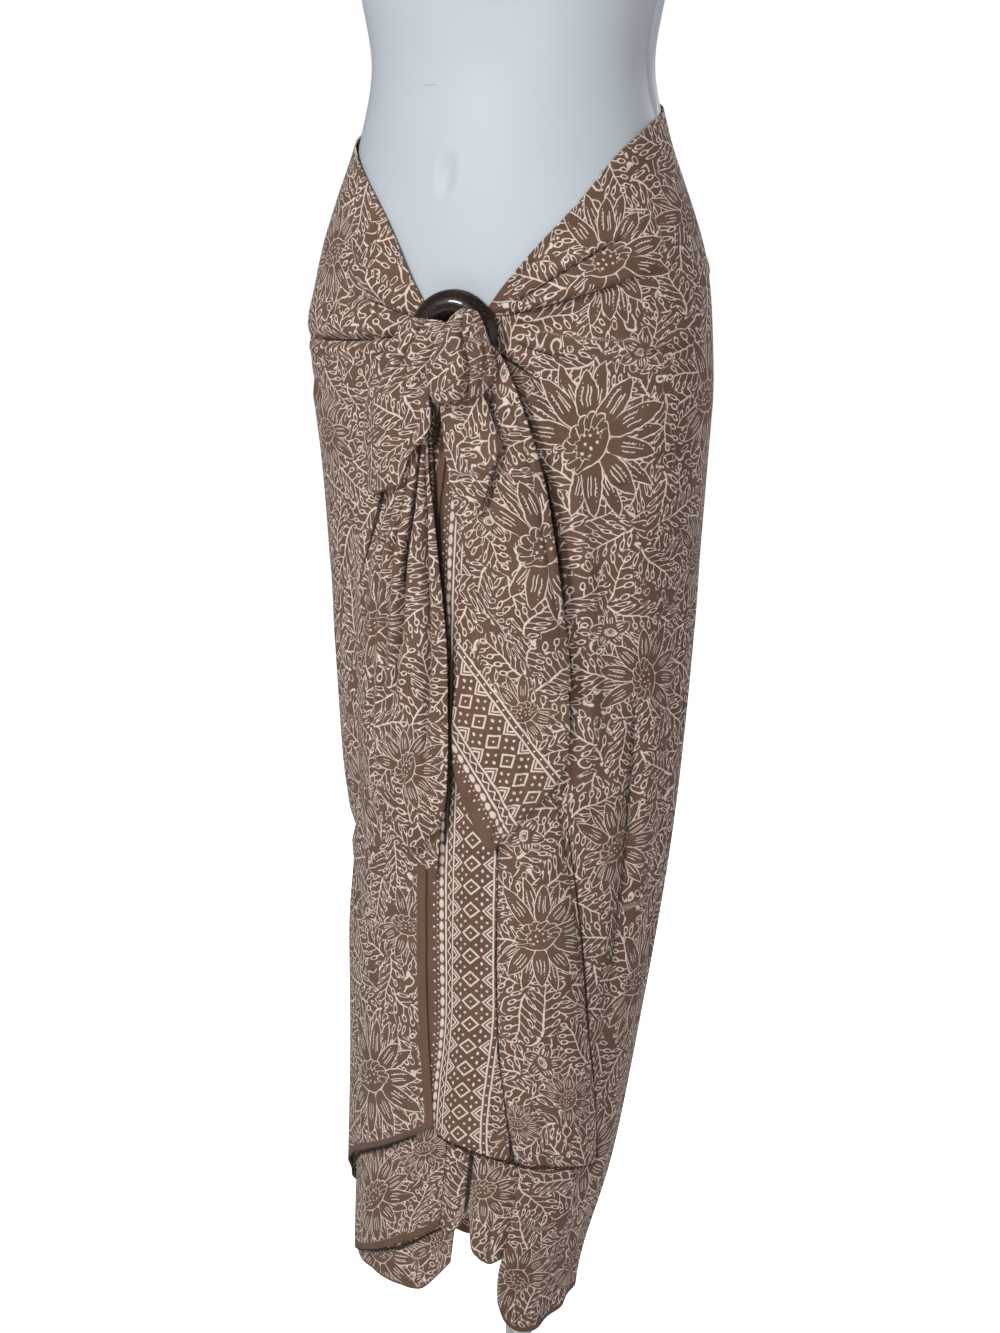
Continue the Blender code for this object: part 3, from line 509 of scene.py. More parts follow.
@dataclass(frozen=True)
class Relief:
    """Folds, gathers and creases of the main wrap, each a rise over the plain drape."""

    ring_angle: float = 5.0
    ring_height: float = 0.989
    ring_outer: float = 0.038
    ring_radius: float = 0.135
    layer: float = 0.0024
    keep_off: float = -0.0006

    def hanging_folds(self, angle: Array, height: Array) -> Array:
        """Soft upright folds, each a bell across that grows from its start to the hem."""
        rise = 0 * angle
        lowest = DRAPE_ROWS[0][0]
        for centre, half_width, start, depth in FOLD_ROWS:
            grown = ramp((start - height) / (start - lowest))
            rise = rise + depth * grown * hump(turn_from(angle, centre), half_width)
        return rise

    def gathers(self, angle: Array, height: Array) -> Array:
        """Gathers that run out from the ring, bells across a ray that fade along it."""
        span = np.radians(angle - self.ring_angle) * self.ring_radius
        drop = height - self.ring_height
        reach = np.hypot(span, drop)
        heading = np.degrees(np.arctan2(drop, span))
        rise = 0 * angle
        for direction, length, depth in GATHER_ROWS:
            turned = np.radians(turn_from(heading, direction))
            aside = reach * np.abs(np.sin(np.clip(turned, -1.5, 1.5)))
            width = 0.0045 + 0.090 * reach
            fade = ramp((reach - self.ring_outer - 0.004) / 0.032)
            fade = fade * (1 - ramp((reach - 0.06) / (length - 0.06)))
            rise = rise + depth * fade * hump(aside, width) * (np.abs(turned) < 1.4)
        return rise

    def swells(self, angle: Array, height: Array) -> Array:
        """Broad places that stand off the body, each a bell in both directions."""
        rise = 0 * angle
        for centre, level, half_width, half_height, depth in SWELL_ROWS:
            across = hump(turn_from(angle, centre), half_width)
            rise = rise + depth * across * hump(height - level, half_height)
        return rise

    def creases(self, angle: Array, height: Array) -> tuple[Array, Array]:
        """Fine creases along short bowed lines, and painted shade lines along the deeper creases and
        in the gaps beside upper layers.

        Across each of the creases a trough -exp(-(d/w)^2) stands beside a lower ridge at 1.8 w, and
        both fade in and out along it. A gap has no rise, only painted shade.

        Args:
            angle: Degrees round the body.
            height: Heights above the datum.

        Returns:
            The rise, mostly negative, and for each point the distance from its nearest painted shade
            line, the line's half width there and how dark it is.
        """
        rise = 0 * angle
        marks = Nearest(angle.shape)

        def along_line(ends: Sequence[float]) -> tuple[Array, Array]:
            """Distance aside of a line and share along it."""
            run = np.array([(ends[2] - ends[0]) * DEGREE, ends[3] - ends[1]])
            length = float(np.hypot(*run))
            east, north = run / length
            x = turn_from(angle, ends[0]) * DEGREE
            y = height - ends[1]
            return y * east - x * north, (x * east + y * north) / length

        def draw(aside: Array, half: Array, dark: Array) -> None:
            """Keeps a painted shade line where it is the nearest."""
            marks.offer(np.abs(aside), painted_shade_line(aside, half, dark, half), dark > 0.01)

        for *ends, bow, width, depth in CREASE_ROWS:
            aside, share = along_line(ends)
            aside = aside - bow * 4 * share * (1 - share)
            taper = ramp(share / 0.14) * (1 - ramp((share - 0.5) / 0.5))
            cross = 0.55 * hump(aside - 1.8 * width, 1.2 * width) - hump(aside, width)
            rise = rise + depth * taper * cross
            strength = taper * np.clip((depth - 0.0028) / 0.0022, 0.0, 1.0)
            # Painted shade along the bottom of the deeper creases, darker the deeper they are
            draw(aside, 0.38 * width * strength, strength)
        # Painted shade in the gaps beside upper layers
        pairs = (pair for chain in PAINTED_SHADE_GAP_ROWS for pair in zip(chain, chain[1:]))
        for (*start, first), (*end, last) in pairs:
            aside, share = along_line((*start, *end))
            within = (share > -0.03) & (share < 1.03)
            draw(aside, first + (last - first) * np.clip(share, 0.0, 1.0), within.astype(float))
        return rise, marks.values

    def lift(self, angle: Array, height: Array, over: Array) -> Array:
        """How far the wrap lies from the plain drape, kept off the form.

        Args:
            angle: Degrees round the body.
            height: Heights above the datum.
            over: 1 where this layer covers the border stretch, 0 where it lies bare.

        Returns:
            The lift in metres.
        """
        base = self.layer * over * ramp((0.955 - height) / 0.045)
        base = base + self.swells(angle, height) + self.hanging_folds(angle, height)
        base = base + self.gathers(angle, height)
        total = base + self.creases(angle, height)[0]
        on_form = height > BODY.hang - 0.03
        return np.where(on_form, np.maximum(total, self.keep_off), total)


RELIEF = Relief()


def index_faces(
    rows: int, columns: int, round_rows: bool = False, round_columns: bool = False
) -> Array:
    """Quads of a grid whose rows run down and columns run to the right seen from outside.

    Args:
        rows: Number of rows.
        columns: Number of columns.
        round_rows: True where the last row meets the first.
        round_columns: True where the last column meets the first.

    Returns:
        Four point numbers for each face.
    """
    index = np.arange(rows * columns).reshape(rows, columns)
    index = np.pad(index, ((0, int(round_rows)), (0, int(round_columns))), mode="wrap")
    corners = index[:-1, :-1], index[1:, :-1], index[1:, 1:], index[:-1, 1:]
    return side_by_side(*corners).reshape(-1, 4)


def make_mesh(name: str, points: Array, faces: Array) -> Mesh:
    """A mesh of quads, shaded smooth.

    Args:
        name: Name of the mesh.
        points: Places, one row each.
        faces: Four point numbers for each face.

    Returns:
        The mesh.
    """
    mesh = bpy.data.meshes.new(name)
    mesh.vertices.add(len(points))
    mesh.vertices.foreach_set("co", np.ascontiguousarray(points, dtype=np.float32).ravel())
    mesh.loops.add(faces.size)
    mesh.loops.foreach_set("vertex_index", np.ascontiguousarray(faces, dtype=np.int32).ravel())
    mesh.polygons.add(len(faces))
    mesh.polygons.foreach_set("loop_start", np.arange(0, faces.size, 4, dtype=np.int32))
    mesh.update(calc_edges=True)
    mesh.shade_smooth()
    return mesh


def show(name: str, mesh: Mesh, finish: Finish) -> Piece:
    """An object at the origin that carries this mesh and its finish."""
    piece = bpy.data.objects.new(name, mesh)
    bpy.context.scene.collection.objects.link(piece)
    mesh.materials.append(finish)
    return piece


def operator(operation: str, swapped: bool = False) -> Callable[..., "Wire"]:
    """A method that joins a wire and another value in a Math node, in either order."""

    def method(self: "Wire", *other: Value) -> "Wire":
        """The node's result."""
        return self.net.calc(operation, *(*other, self) if swapped else (self, *other))

    return method


@dataclass(frozen=True, eq=False)
class Wire:
    """An output socket that is added, multiplied and compared like a number."""

    net: "Net"
    socket: Socket

    __add__ = __radd__ = operator("ADD")
    __mul__ = __rmul__ = operator("MULTIPLY")
    __sub__, __rsub__ = operator("SUBTRACT"), operator("SUBTRACT", swapped=True)
    __truediv__, __rtruediv__ = operator("DIVIDE"), operator("DIVIDE", swapped=True)
    __lt__, __gt__ = operator("LESS_THAN"), operator("GREATER_THAN")
    __abs__, __pow__ = operator("ABSOLUTE"), operator("POWER")


@dataclass(frozen=True)
class Net:
    """A node tree with short ways to add nodes and to join them."""

    tree: Tree

    def add(self, kind: str, **settings: object) -> Node:
        """A new node of this kind with these settings."""
        node = self.tree.nodes.new(kind)
        for name, value in settings.items():
            setattr(node, name, value)
        return node

    def feed(self, value: "Value | Sequence[float]", socket: Socket) -> None:
        """Joins a wire to a socket, or sets the socket to a plain value."""
        if isinstance(value, Wire):
            self.tree.links.new(value.socket, socket)
        elif socket.type == "RGBA":
            socket.default_value = (*value, 1.0)
        else:
            socket.default_value = value

    def fill(self, node: Node, sockets: "dict[str, Wire | float | Sequence[float]]") -> None:
        """Joins or sets a node's inputs by name."""
        for name, value in sockets.items():
            self.feed(value, node.inputs[name])

    def place(self, kind: str, *values: Value, **settings: object) -> Wire:
        """The first output of a new node whose inputs take these values in order."""
        node = self.add(kind, **settings)
        for value, socket in zip(values, node.inputs):
            self.feed(value, socket)
        return Wire(self, node.outputs[0])

    def calc(self, operation: str, *values: Value) -> Wire:
        """The result of a Math node."""
        return self.place("ShaderNodeMath", *values, operation=operation)

    def length(self, x: Wire, y: Wire) -> Wire:
        """Length of a step of x and y."""
        return self.calc("SQRT", x * x + y * y)

    def off_round(self, value: Wire) -> Wire:
        """Distance from the nearest whole number, -0.5 to 0.5."""
        return value - self.calc("ROUND", value)

    def most(self, *values: Wire) -> Wire:
        """The greatest of several wires."""
        best = values[0]
        for value in values[1:]:
            best = self.calc("MAXIMUM", best, value)
        return best

    def step(self, value: Wire, low: Value, high: Value) -> Wire:
        """A smooth step, 0 at low and 1 at high; low may be the greater of the two."""
        return self.place("ShaderNodeMapRange", value, low, high, interpolation_type="SMOOTHSTEP")

    def within(self, value: Wire, low: Value, high: Value) -> Wire:
        """1 between two limits, else 0."""
        return (value > low) * (value < high)

    def stroke(self, distance: Wire, half_width: Value) -> Wire:
        """1 on a line of this half width round the zero of a distance, soft at its sides."""
        return self.step(abs(distance), half_width * 1.35, half_width * 0.65)

    def combine(self, x: Value, y: Value, z: Value = 0.0) -> Wire:
        """A vector of three numbers."""
        return self.place("ShaderNodeCombineXYZ", x, y, z)

    def split(self, vector: Wire) -> tuple[Wire, Wire, Wire]:
        """The three numbers of a vector or colour."""
        node = self.add("ShaderNodeSeparateXYZ")
        self.feed(vector, node.inputs[0])
        return tuple(Wire(self, socket) for socket in node.outputs)

    def noise(
        self, vector: Wire, scale: float, detail: float = 2.0, roughness: float = 0.5,
        colour: bool = False,
    ) -> Wire:
        """Smooth noise at this scale.

        Args:
            vector: Where it is read.
            scale: Cells to the metre.
            detail: Finer octaves.
            roughness: Their share.
            colour: True for the three-channel output.

        Returns:
            The value, near 0.5 on average.
        """
        node = self.add("ShaderNodeTexNoise")
        self.fill(node, {"Vector": vector, "Scale": scale, "Detail": detail, "Roughness": roughness})
        return Wire(self, node.outputs[1 if colour else 0])

    def scatter(self, x: Wire, y: Value, seed: Value) -> tuple[Wire, Wire, Wire]:
        """Three random numbers for each whole x and y."""
        node = self.add("ShaderNodeTexWhiteNoise", noise_dimensions="3D")
        self.feed(self.combine(x, y, seed), node.inputs["Vector"])
        return self.split(Wire(self, node.outputs["Color"]))

    def dots(self, vector: Wire, scale: float, size: float) -> Wire:
        """Scattered round dots, 1 inside each."""
        node = self.add("ShaderNodeTexVoronoi", voronoi_dimensions="2D", feature="F1")
        self.fill(node, {"Vector": vector, "Scale": scale, "Randomness": 0.65})
        return self.step(Wire(self, node.outputs["Distance"]), size * 1.25, size * 0.75)

    def blend(self, share: Wire, low: "Wire | Triple", high: "Wire | Triple") -> Wire:
        """A colour between two, or a mix of two wires' colours."""
        node = self.add("ShaderNodeMix", data_type="RGBA")
        self.feed(share, node.inputs[0])
        self.feed(low, node.inputs[6])
        self.feed(high, node.inputs[7])
        return Wire(self, node.outputs[2])

    def use(self, group: Tree, **values: Value) -> dict[str, Wire]:
        """Places a node group and returns its outputs by name."""
        node = self.add("ShaderNodeGroup", node_tree=group)
        self.fill(node, values)
        return {socket.name: Wire(self, socket) for socket in node.outputs}

    def read(self, name: str) -> Wire:
        """A vector kept on the surface's points under this name."""
        return Wire(self, self.add("ShaderNodeAttribute", attribute_name=name).outputs["Vector"])

    def object_place(self) -> Wire:
        """The place on the object, in metres."""
        return Wire(self, self.add("ShaderNodeTexCoord").outputs["Object"])


def node_group(
    name: str, inputs: Sequence[str], outputs: Sequence[str], draw: Callable[..., Sequence[Wire]]
) -> Tree:
    """A shader node group of plain numbers, made once.

    Args:
        name: Name of the group.
        inputs: Names of its inputs.
        outputs: Names of its outputs.
        draw: Takes the net and the input wires and returns the output wires.

    Returns:
        The group's tree.
    """
    tree = bpy.data.node_groups.new(name, "ShaderNodeTree")
    for label in inputs:
        tree.interface.new_socket(label, in_out="INPUT", socket_type="NodeSocketFloat")
    for label in outputs:
        tree.interface.new_socket(label, in_out="OUTPUT", socket_type="NodeSocketFloat")
    net = Net(tree)
    source = net.add("NodeGroupInput")
    drain = net.add("NodeGroupOutput")
    wires = [Wire(net, source.outputs[label]) for label in inputs]
    for label, wire in zip(outputs, draw(net, *wires)):
        net.feed(wire, drain.inputs[label])
    return tree


def draw_cell(
    net: Net, x: Wire, y: Wire, size: Wire, turn: Wire, spread: Wire, seed: Wire
) -> tuple[Wire, ...]:
    """Splits the cloth into turned square cells, each with its own turn and offset inside.

    The grid is (x cos t + y sin t) / size; in each cell the place is moved by up to half the
    spread and turned by a random angle.

    Args:
        net: Where the nodes go.
        x: Cloth coordinate across.
        y: Cloth coordinate along.
        size: Side of a cell in metres.
        turn: Turn of the whole grid in radians.
        spread: Largest offset, as a share of the cell.
        seed: Number that sets this grid apart.

    Returns:
        Local x, local y, both -1 to 1 across the cell, and two random numbers.
    """
    cos, sin = net.calc("COSINE", turn), net.calc("SINE", turn)
    across = (x * cos + y * sin) / size + seed * 7.31
    up = (y * cos - x * sin) / size + seed * 3.77
    column, row = net.calc("FLOOR", across), net.calc("FLOOR", up)
    first, second, third = net.scatter(column, row, seed)
    fourth, fifth, _ = net.scatter(column, row, seed + 17.0)
    local_x = (across - column - 0.5 - (first - 0.5) * spread) * 2.0
    local_y = (up - row - 0.5 - (second - 0.5) * spread) * 2.0
    angle = third * (2 * math.pi)
    cos, sin = net.calc("COSINE", angle), net.calc("SINE", angle)
    return local_x * cos + local_y * sin, local_y * cos - local_x * sin, fourth, fifth


def draw_flower(
    net: Net, x: Wire, y: Wire, petals: Wire, width: Wire, heart: Wire, gap: Wire, seed: Wire,
    line: Wire,
) -> tuple[Wire, Wire]:
    """A flower of radius 1 with two rows of pointed petals round an oval heart of curled stamens.

    A petal's half width is 2 W t^0.55 (1 - t)^0.70, where t runs from the heart to the tip.

    Args:
        net: Where the nodes go.
        x: Place across, in radii.
        y: Place up, in radii.
        petals: Number of petals in a row.
        width: Greatest half width W of a petal.
        heart: Radius of the heart.
        gap: Petals within this many steps of the flower's far side are left out.
        seed: Number that sets the flower apart.
        line: Half width of a drawn line, in radii.

    Returns:
        The lines, and the flower's own area.
    """
    reach = net.length(x, y)
    bearing = net.calc("ARCTAN2", y, x) * (0.5 / math.pi)
    root = heart * 0.62

    def petal_row(shift: float, longest: float, share: float) -> tuple[Wire, Wire]:
        """One row of petals, turned by a share of a petal."""
        place = bearing * petals + shift
        number = net.calc("ROUND", place)
        around = net.calc("FLOORED_MODULO", number, petals)
        lean, size, _ = net.scatter(around, shift, seed)
        kept = abs(around - petals * 0.45) > gap
        aside = (place - number + (lean - 0.5) * 0.26) * (2 * math.pi) / petals * reach
        length = longest - size * 0.24
        along_it = (reach - root) / (length - root)
        held = net.calc("MINIMUM", net.calc("MAXIMUM", along_it, 0.0), 1.0)
        half = held**0.55 * (1.0 - held) ** 0.70 * width * (2 * share)
        rim = abs(aside) - half
        here = net.within(along_it, 0.0, 1.0) * kept
        inside = net.step(rim, 0.006, -0.006) * here
        outline = net.stroke(rim, line) * net.within(along_it, 0.0, 1.02) * kept
        rib = net.stroke(aside + (lean - 0.5) * 0.04, line * 0.8)
        rib = rib * net.within(along_it, 0.30, 0.46 + size * 0.34)
        veins = net.stroke(rim + half * 0.62, line * 0.8)
        veins = veins * net.within(along_it, 0.34, 0.52 + lean * 0.22)
        bead = net.off_round(along_it * 13.0) * 0.050
        beside = aside - half * 0.5
        beads = net.step(bead * bead + beside * beside, line * line * 1.2, line * line * 0.35)
        beads = beads * net.within(along_it, 0.40, 0.80)
        return net.most(outline, net.most(rib, veins, beads) * inside), inside

    front, front_area = petal_row(0.0, 1.0, 1.0)
    back, back_area = petal_row(0.5, 1.02, 0.8)
    heart_x, heart_y = x * 0.86 + 0.03, y * 1.24
    core_reach = net.length(heart_x, heart_y)
    curled = net.step(heart_y, heart * -0.50, heart * -0.20)
    loops = net.off_round(net.calc("ARCTAN2", heart_y, heart_x) * (13.0 * 0.5 / math.pi))
    arch = net.calc("SQRT", net.calc("COSINE", loops * math.pi))
    edge = heart * (0.84 + 0.22 * arch * curled)
    rim = net.stroke(core_reach - edge, line * 1.1)
    hook = net.stroke(loops * heart * 0.5 + (core_reach - heart * 0.74) * 0.6, line * 0.9)
    hook = hook * net.within(core_reach, heart * 0.52, heart * 0.95) * curled
    wave = heart * (0.52 + 0.05 * net.calc("COSINE", loops * (2 * math.pi)))
    inner = net.stroke(core_reach - wave, line * 0.7) * curled
    seeds = net.dots(net.combine(x, y, 0.0), 11.0, 0.20) * (core_reach < heart * 0.48)
    core = core_reach < edge
    drawn = net.most(front, back * (1.0 - front_area)) * (1.0 - core)
    drawn = net.most(drawn, rim, hook, seeds, inner)
    return drawn, net.most(front_area, back_area, core)


def draw_leaf(net: Net, x: Wire, y: Wire, line: Wire, lean: Wire) -> tuple[Wire, Wire]:
    """A bowed leaf from -1 to 1, half width 0.38 (1 - x^2)^0.8, with a broken rib and side lines.

    Args:
        net: Where the nodes go.
        x: Place along the leaf.
        y: Place across it.
        line: Half width of a drawn line.
        lean: Random number that bows the leaf.

    Returns:
        The lines, and the leaf's own area.
    """
    bowed = y - (1.0 - x * x) * (lean - 0.5) * 0.6
    held = net.calc("MAXIMUM", 1.0 - x * x, 0.0)
    half = held**0.8 * 0.38
    gap = abs(bowed) - half
    here = abs(x) < 1.0
    outline = net.stroke(gap, line) * here
    unbroken = net.most(net.within(x, -0.95, 0.12), net.within(x, 0.24, 0.62))
    rib = net.stroke(bowed, line * 0.9) * unbroken
    side = net.stroke(gap + half * 0.55, line * 0.8) * net.within(x, -0.42, 0.10 + lean * 0.5)
    notch = net.stroke((net.calc("FRACT", x * 5.0 + 10.0) - 0.5) * 0.2 + gap * 0.4, line * 0.8)
    notch = notch * net.within(gap, -0.11, 0.0) * (bowed > 0.0) * net.within(x, -0.7, 0.7)
    drawn = net.most(outline, net.most(rib, side, notch) * (gap < 0.0) * here)
    return drawn, net.step(gap, 0.05, 0.03) * here


def draw_sprig(net: Net, x: Wire, y: Wire, line: Wire, lean: Wire) -> tuple[Wire, Wire]:
    """A bowed stem from -1 to 1 with slanted stalks on both sides, each ending in a small loop.

    Along the stem the stalks repeat every 0.33; a stalk lies where x - 0.75 |y| is on the
    repeat, and its loop is an oval ring at its end.

    Args:
        net: Where the nodes go.
        x: Place along the stem.
        y: Place across it.
        line: Half width of a drawn line.
        lean: Random number that bows the stem.

    Returns:
        The lines, and the sprig's own area.
    """
    off = y - net.calc("SINE", x * 2.0) * (lean - 0.5) * 0.7
    side = off > 0.0
    out = abs(off)
    slide = (x - out * 0.75 + 4.06) / 0.33 + side * 0.5
    number = net.calc("ROUND", slide)
    _, jitter, _ = net.scatter(number, side, lean)
    aside = (slide - number + (jitter - 0.5) * 0.2) * (0.33 * 0.8)
    shorter = 0.50 - 0.16 * x * x - jitter * 0.16
    stalk = net.stroke(aside, line * 0.8) * (out < shorter - 0.10)
    up = (out - shorter) * 0.62
    loop_reach = net.calc("SQRT", aside * aside * 1.5 + up * up)
    loop = net.stroke(loop_reach - 0.078, line * 0.9)
    here = net.within(x, -0.98, 0.92)
    stem = net.stroke(off, line * (1.35 - x * 0.5)) * net.within(x, -1.0, 0.86)
    tip_x = x - 0.93
    tip = net.stroke(net.calc("SQRT", tip_x * tip_x * 0.6 + off * off) - 0.08, line)
    drawn = net.most(net.most(stalk, loop) * here, stem, tip)
    area = net.step(out, shorter + 0.18, shorter + 0.14) * net.step(abs(x), 1.08, 1.0)
    return drawn, area


def draw_border(net: Net, x: Wire, y: Wire) -> tuple[Wire, Wire]:
    """The band along the short edge, drawn across it in steps of 1.16 mm from 12 mm outside.

    From the edge it has a bare margin, dots, ovals, a line, a wave, a line, nested chevrons, a
    row of dotted diamonds with clusters of dots between, nested chevrons, and a bare strip of
    dots between two lines.

    Args:
        net: Where the nodes go.
        x: Distance from the short edge in metres.
        y: Distance along it in metres.

    Returns:
        The lines, and the band's own area.
    """
    in_mm, up = x * 860.0 + 10.1, y * 1000.0

    def beat(period: float, shift: float = 0.0) -> Wire:
        """Distance along the band from the middle of the nearest repeat, in millimetres."""
        return net.off_round((up + shift) / period) * period

    def disc(
        middle: float, period: float, radius: float, shift: float = 0.0, stretch: float = 1.0
    ) -> Wire:
        """A row of dots at this distance from the edge, drawn out along the band by 1 / stretch."""
        near = beat(period, shift) * stretch
        return net.step(net.length(near, in_mm - middle), radius * 1.25, radius * 0.8)

    def chevron(tip: float, slope: float, reach: float) -> Wire:
        """A row of short chevrons whose tips stand at this distance from the edge."""
        near = abs(beat(20.0))
        return net.stroke((in_mm - tip - near * slope) * 0.72, 0.62) * (near < reach)

    def cluster(middle: float) -> Wire:
        """Four oval dots in a cross, between the diamonds."""
        ends = [disc(middle + side, 20.0, 1.0, 10.0) for side in (-3.9, 3.9)]
        sides = [disc(middle, 20.0, 0.95, shift, 0.6) for shift in (5.9, 14.1)]
        return net.most(*ends, *sides)

    ovals = disc(23.6, 9.5, 1.7, 0.0, 0.45)
    specks = net.most(disc(17.4, 9.5, 0.9, 2.0), disc(20.4, 4.75, 0.65), ovals)
    lines = net.most(*[net.stroke(in_mm - at, 0.7) for at in (27.2, 33.6, 67.4, 71.9)])
    wave = net.stroke(in_mm - 30.4 - net.calc("SINE", up * (2 * math.pi / 9.5)) * 1.2, 0.55)
    outer = net.most(chevron(41.6, -0.95, 7.0), chevron(38.6, -0.95, 4.2))
    inner = net.most(chevron(59.8, 0.95, 7.0), chevron(62.8, 0.95, 4.2))
    diamond = abs(in_mm - 50.7) + abs(beat(20.0)) * 0.98
    row = net.most(net.stroke(diamond - 6.2, 1.0), disc(50.7, 20.0, 0.8))
    between = net.most(cluster(42.4), cluster(59.0))
    drawn = net.most(specks, lines, wave, outer, inner, row, between, disc(69.7, 8.7, 0.8))
    area = in_mm < 72.6
    return drawn * area, area


def draw_weave(net: Net, x: Wire, y: Wire, pitch: Wire) -> tuple[Wire, Wire]:
    """Plain weave: threads that pass over and under each other in a checker of this pitch.

    The height is |sin(pi x / p)| where the cell count is even and |sin(pi y / p)| where odd.

    Args:
        net: Where the nodes go.
        x: Cloth coordinate across.
        y: Cloth coordinate along.
        pitch: Distance between threads in metres.

    Returns:
        The height from 0 to 1, and a slow streak along each thread.
    """
    column, row = x / pitch, y / pitch
    odd = net.calc("FLOORED_MODULO", net.calc("FLOOR", column) + net.calc("FLOOR", row), 2.0)
    warp = abs(net.calc("SINE", column * math.pi))
    weft = abs(net.calc("SINE", row * math.pi))
    height = warp * odd + weft * (1.0 - odd)
    streak = net.noise(net.combine(x * 900.0, y * 22.0, 0.0), 1.0, 1.0)
    other = net.noise(net.combine(x * 22.0, y * 900.0, 3.0), 1.0, 1.0)
    return height, (streak + other) * 0.5


class Motifs:
    """The drawn motifs of the print as node groups, each made once."""

    def __init__(self) -> None:
        """Makes the groups."""
        both = ("Line", "Area")
        self.cell = node_group(
            "print_cell", ("X", "Y", "Size", "Turn", "Spread", "Seed"),
            ("X", "Y", "First", "Second"), draw_cell,
        )
        self.flower = node_group(
            "print_flower", ("X", "Y", "Petals", "Width", "Heart", "Gap", "Seed", "Line"),
            both, draw_flower,
        )
        self.leaf = node_group("print_leaf", ("X", "Y", "Line", "Lean"), both, draw_leaf)
        self.sprig = node_group("print_sprig", ("X", "Y", "Line", "Lean"), both, draw_sprig)
        self.border = node_group("print_border", ("X", "Y"), both, draw_border)
        self.weave = node_group("plain_weave", ("X", "Y", "Pitch"), ("Height", "Streak"), draw_weave)


def new_finish(name: str) -> tuple[Finish, Net, Node]:
    """A new material with its net and its Principled shader."""
    material = bpy.data.materials.new(name)
    material.use_nodes = True
    net = Net(material.node_tree)
    return material, net, material.node_tree.nodes["Principled BSDF"]


def bumped(net: Net, height: Wire) -> Wire:
    """A Bump node on a height in metres."""
    node = net.add("ShaderNodeBump")
    net.fill(node, {"Distance": 1.0, "Strength": 1.0, "Height": height})
    return Wire(net, node.outputs[0])


class Motif(Enum):
    """The motifs that are sown over the cloth in a field of cells."""

    SPRIG = "sprig"
    LEAF = "leaf"
    SMALL_FLOWER = "small flower"


# Fields from the lowest up: motif, side of a cell, turn of the field, seed, share of cells
SOWN_ROWS = (
    (Motif.LEAF, 0.050, 0.7, 6.0, 0.70),
    (Motif.SPRIG, 0.052, 0.9, 3.0, 1.0),
    (Motif.LEAF, 0.060, -0.2, 7.0, 0.30),
    (Motif.SPRIG, 0.056, 0.25, 4.0, 1.0),
    (Motif.SPRIG, 0.050, -0.5, 5.0, 1.0),
    (Motif.SMALL_FLOWER, 0.088, 0.35, 8.0, 0.60),
)


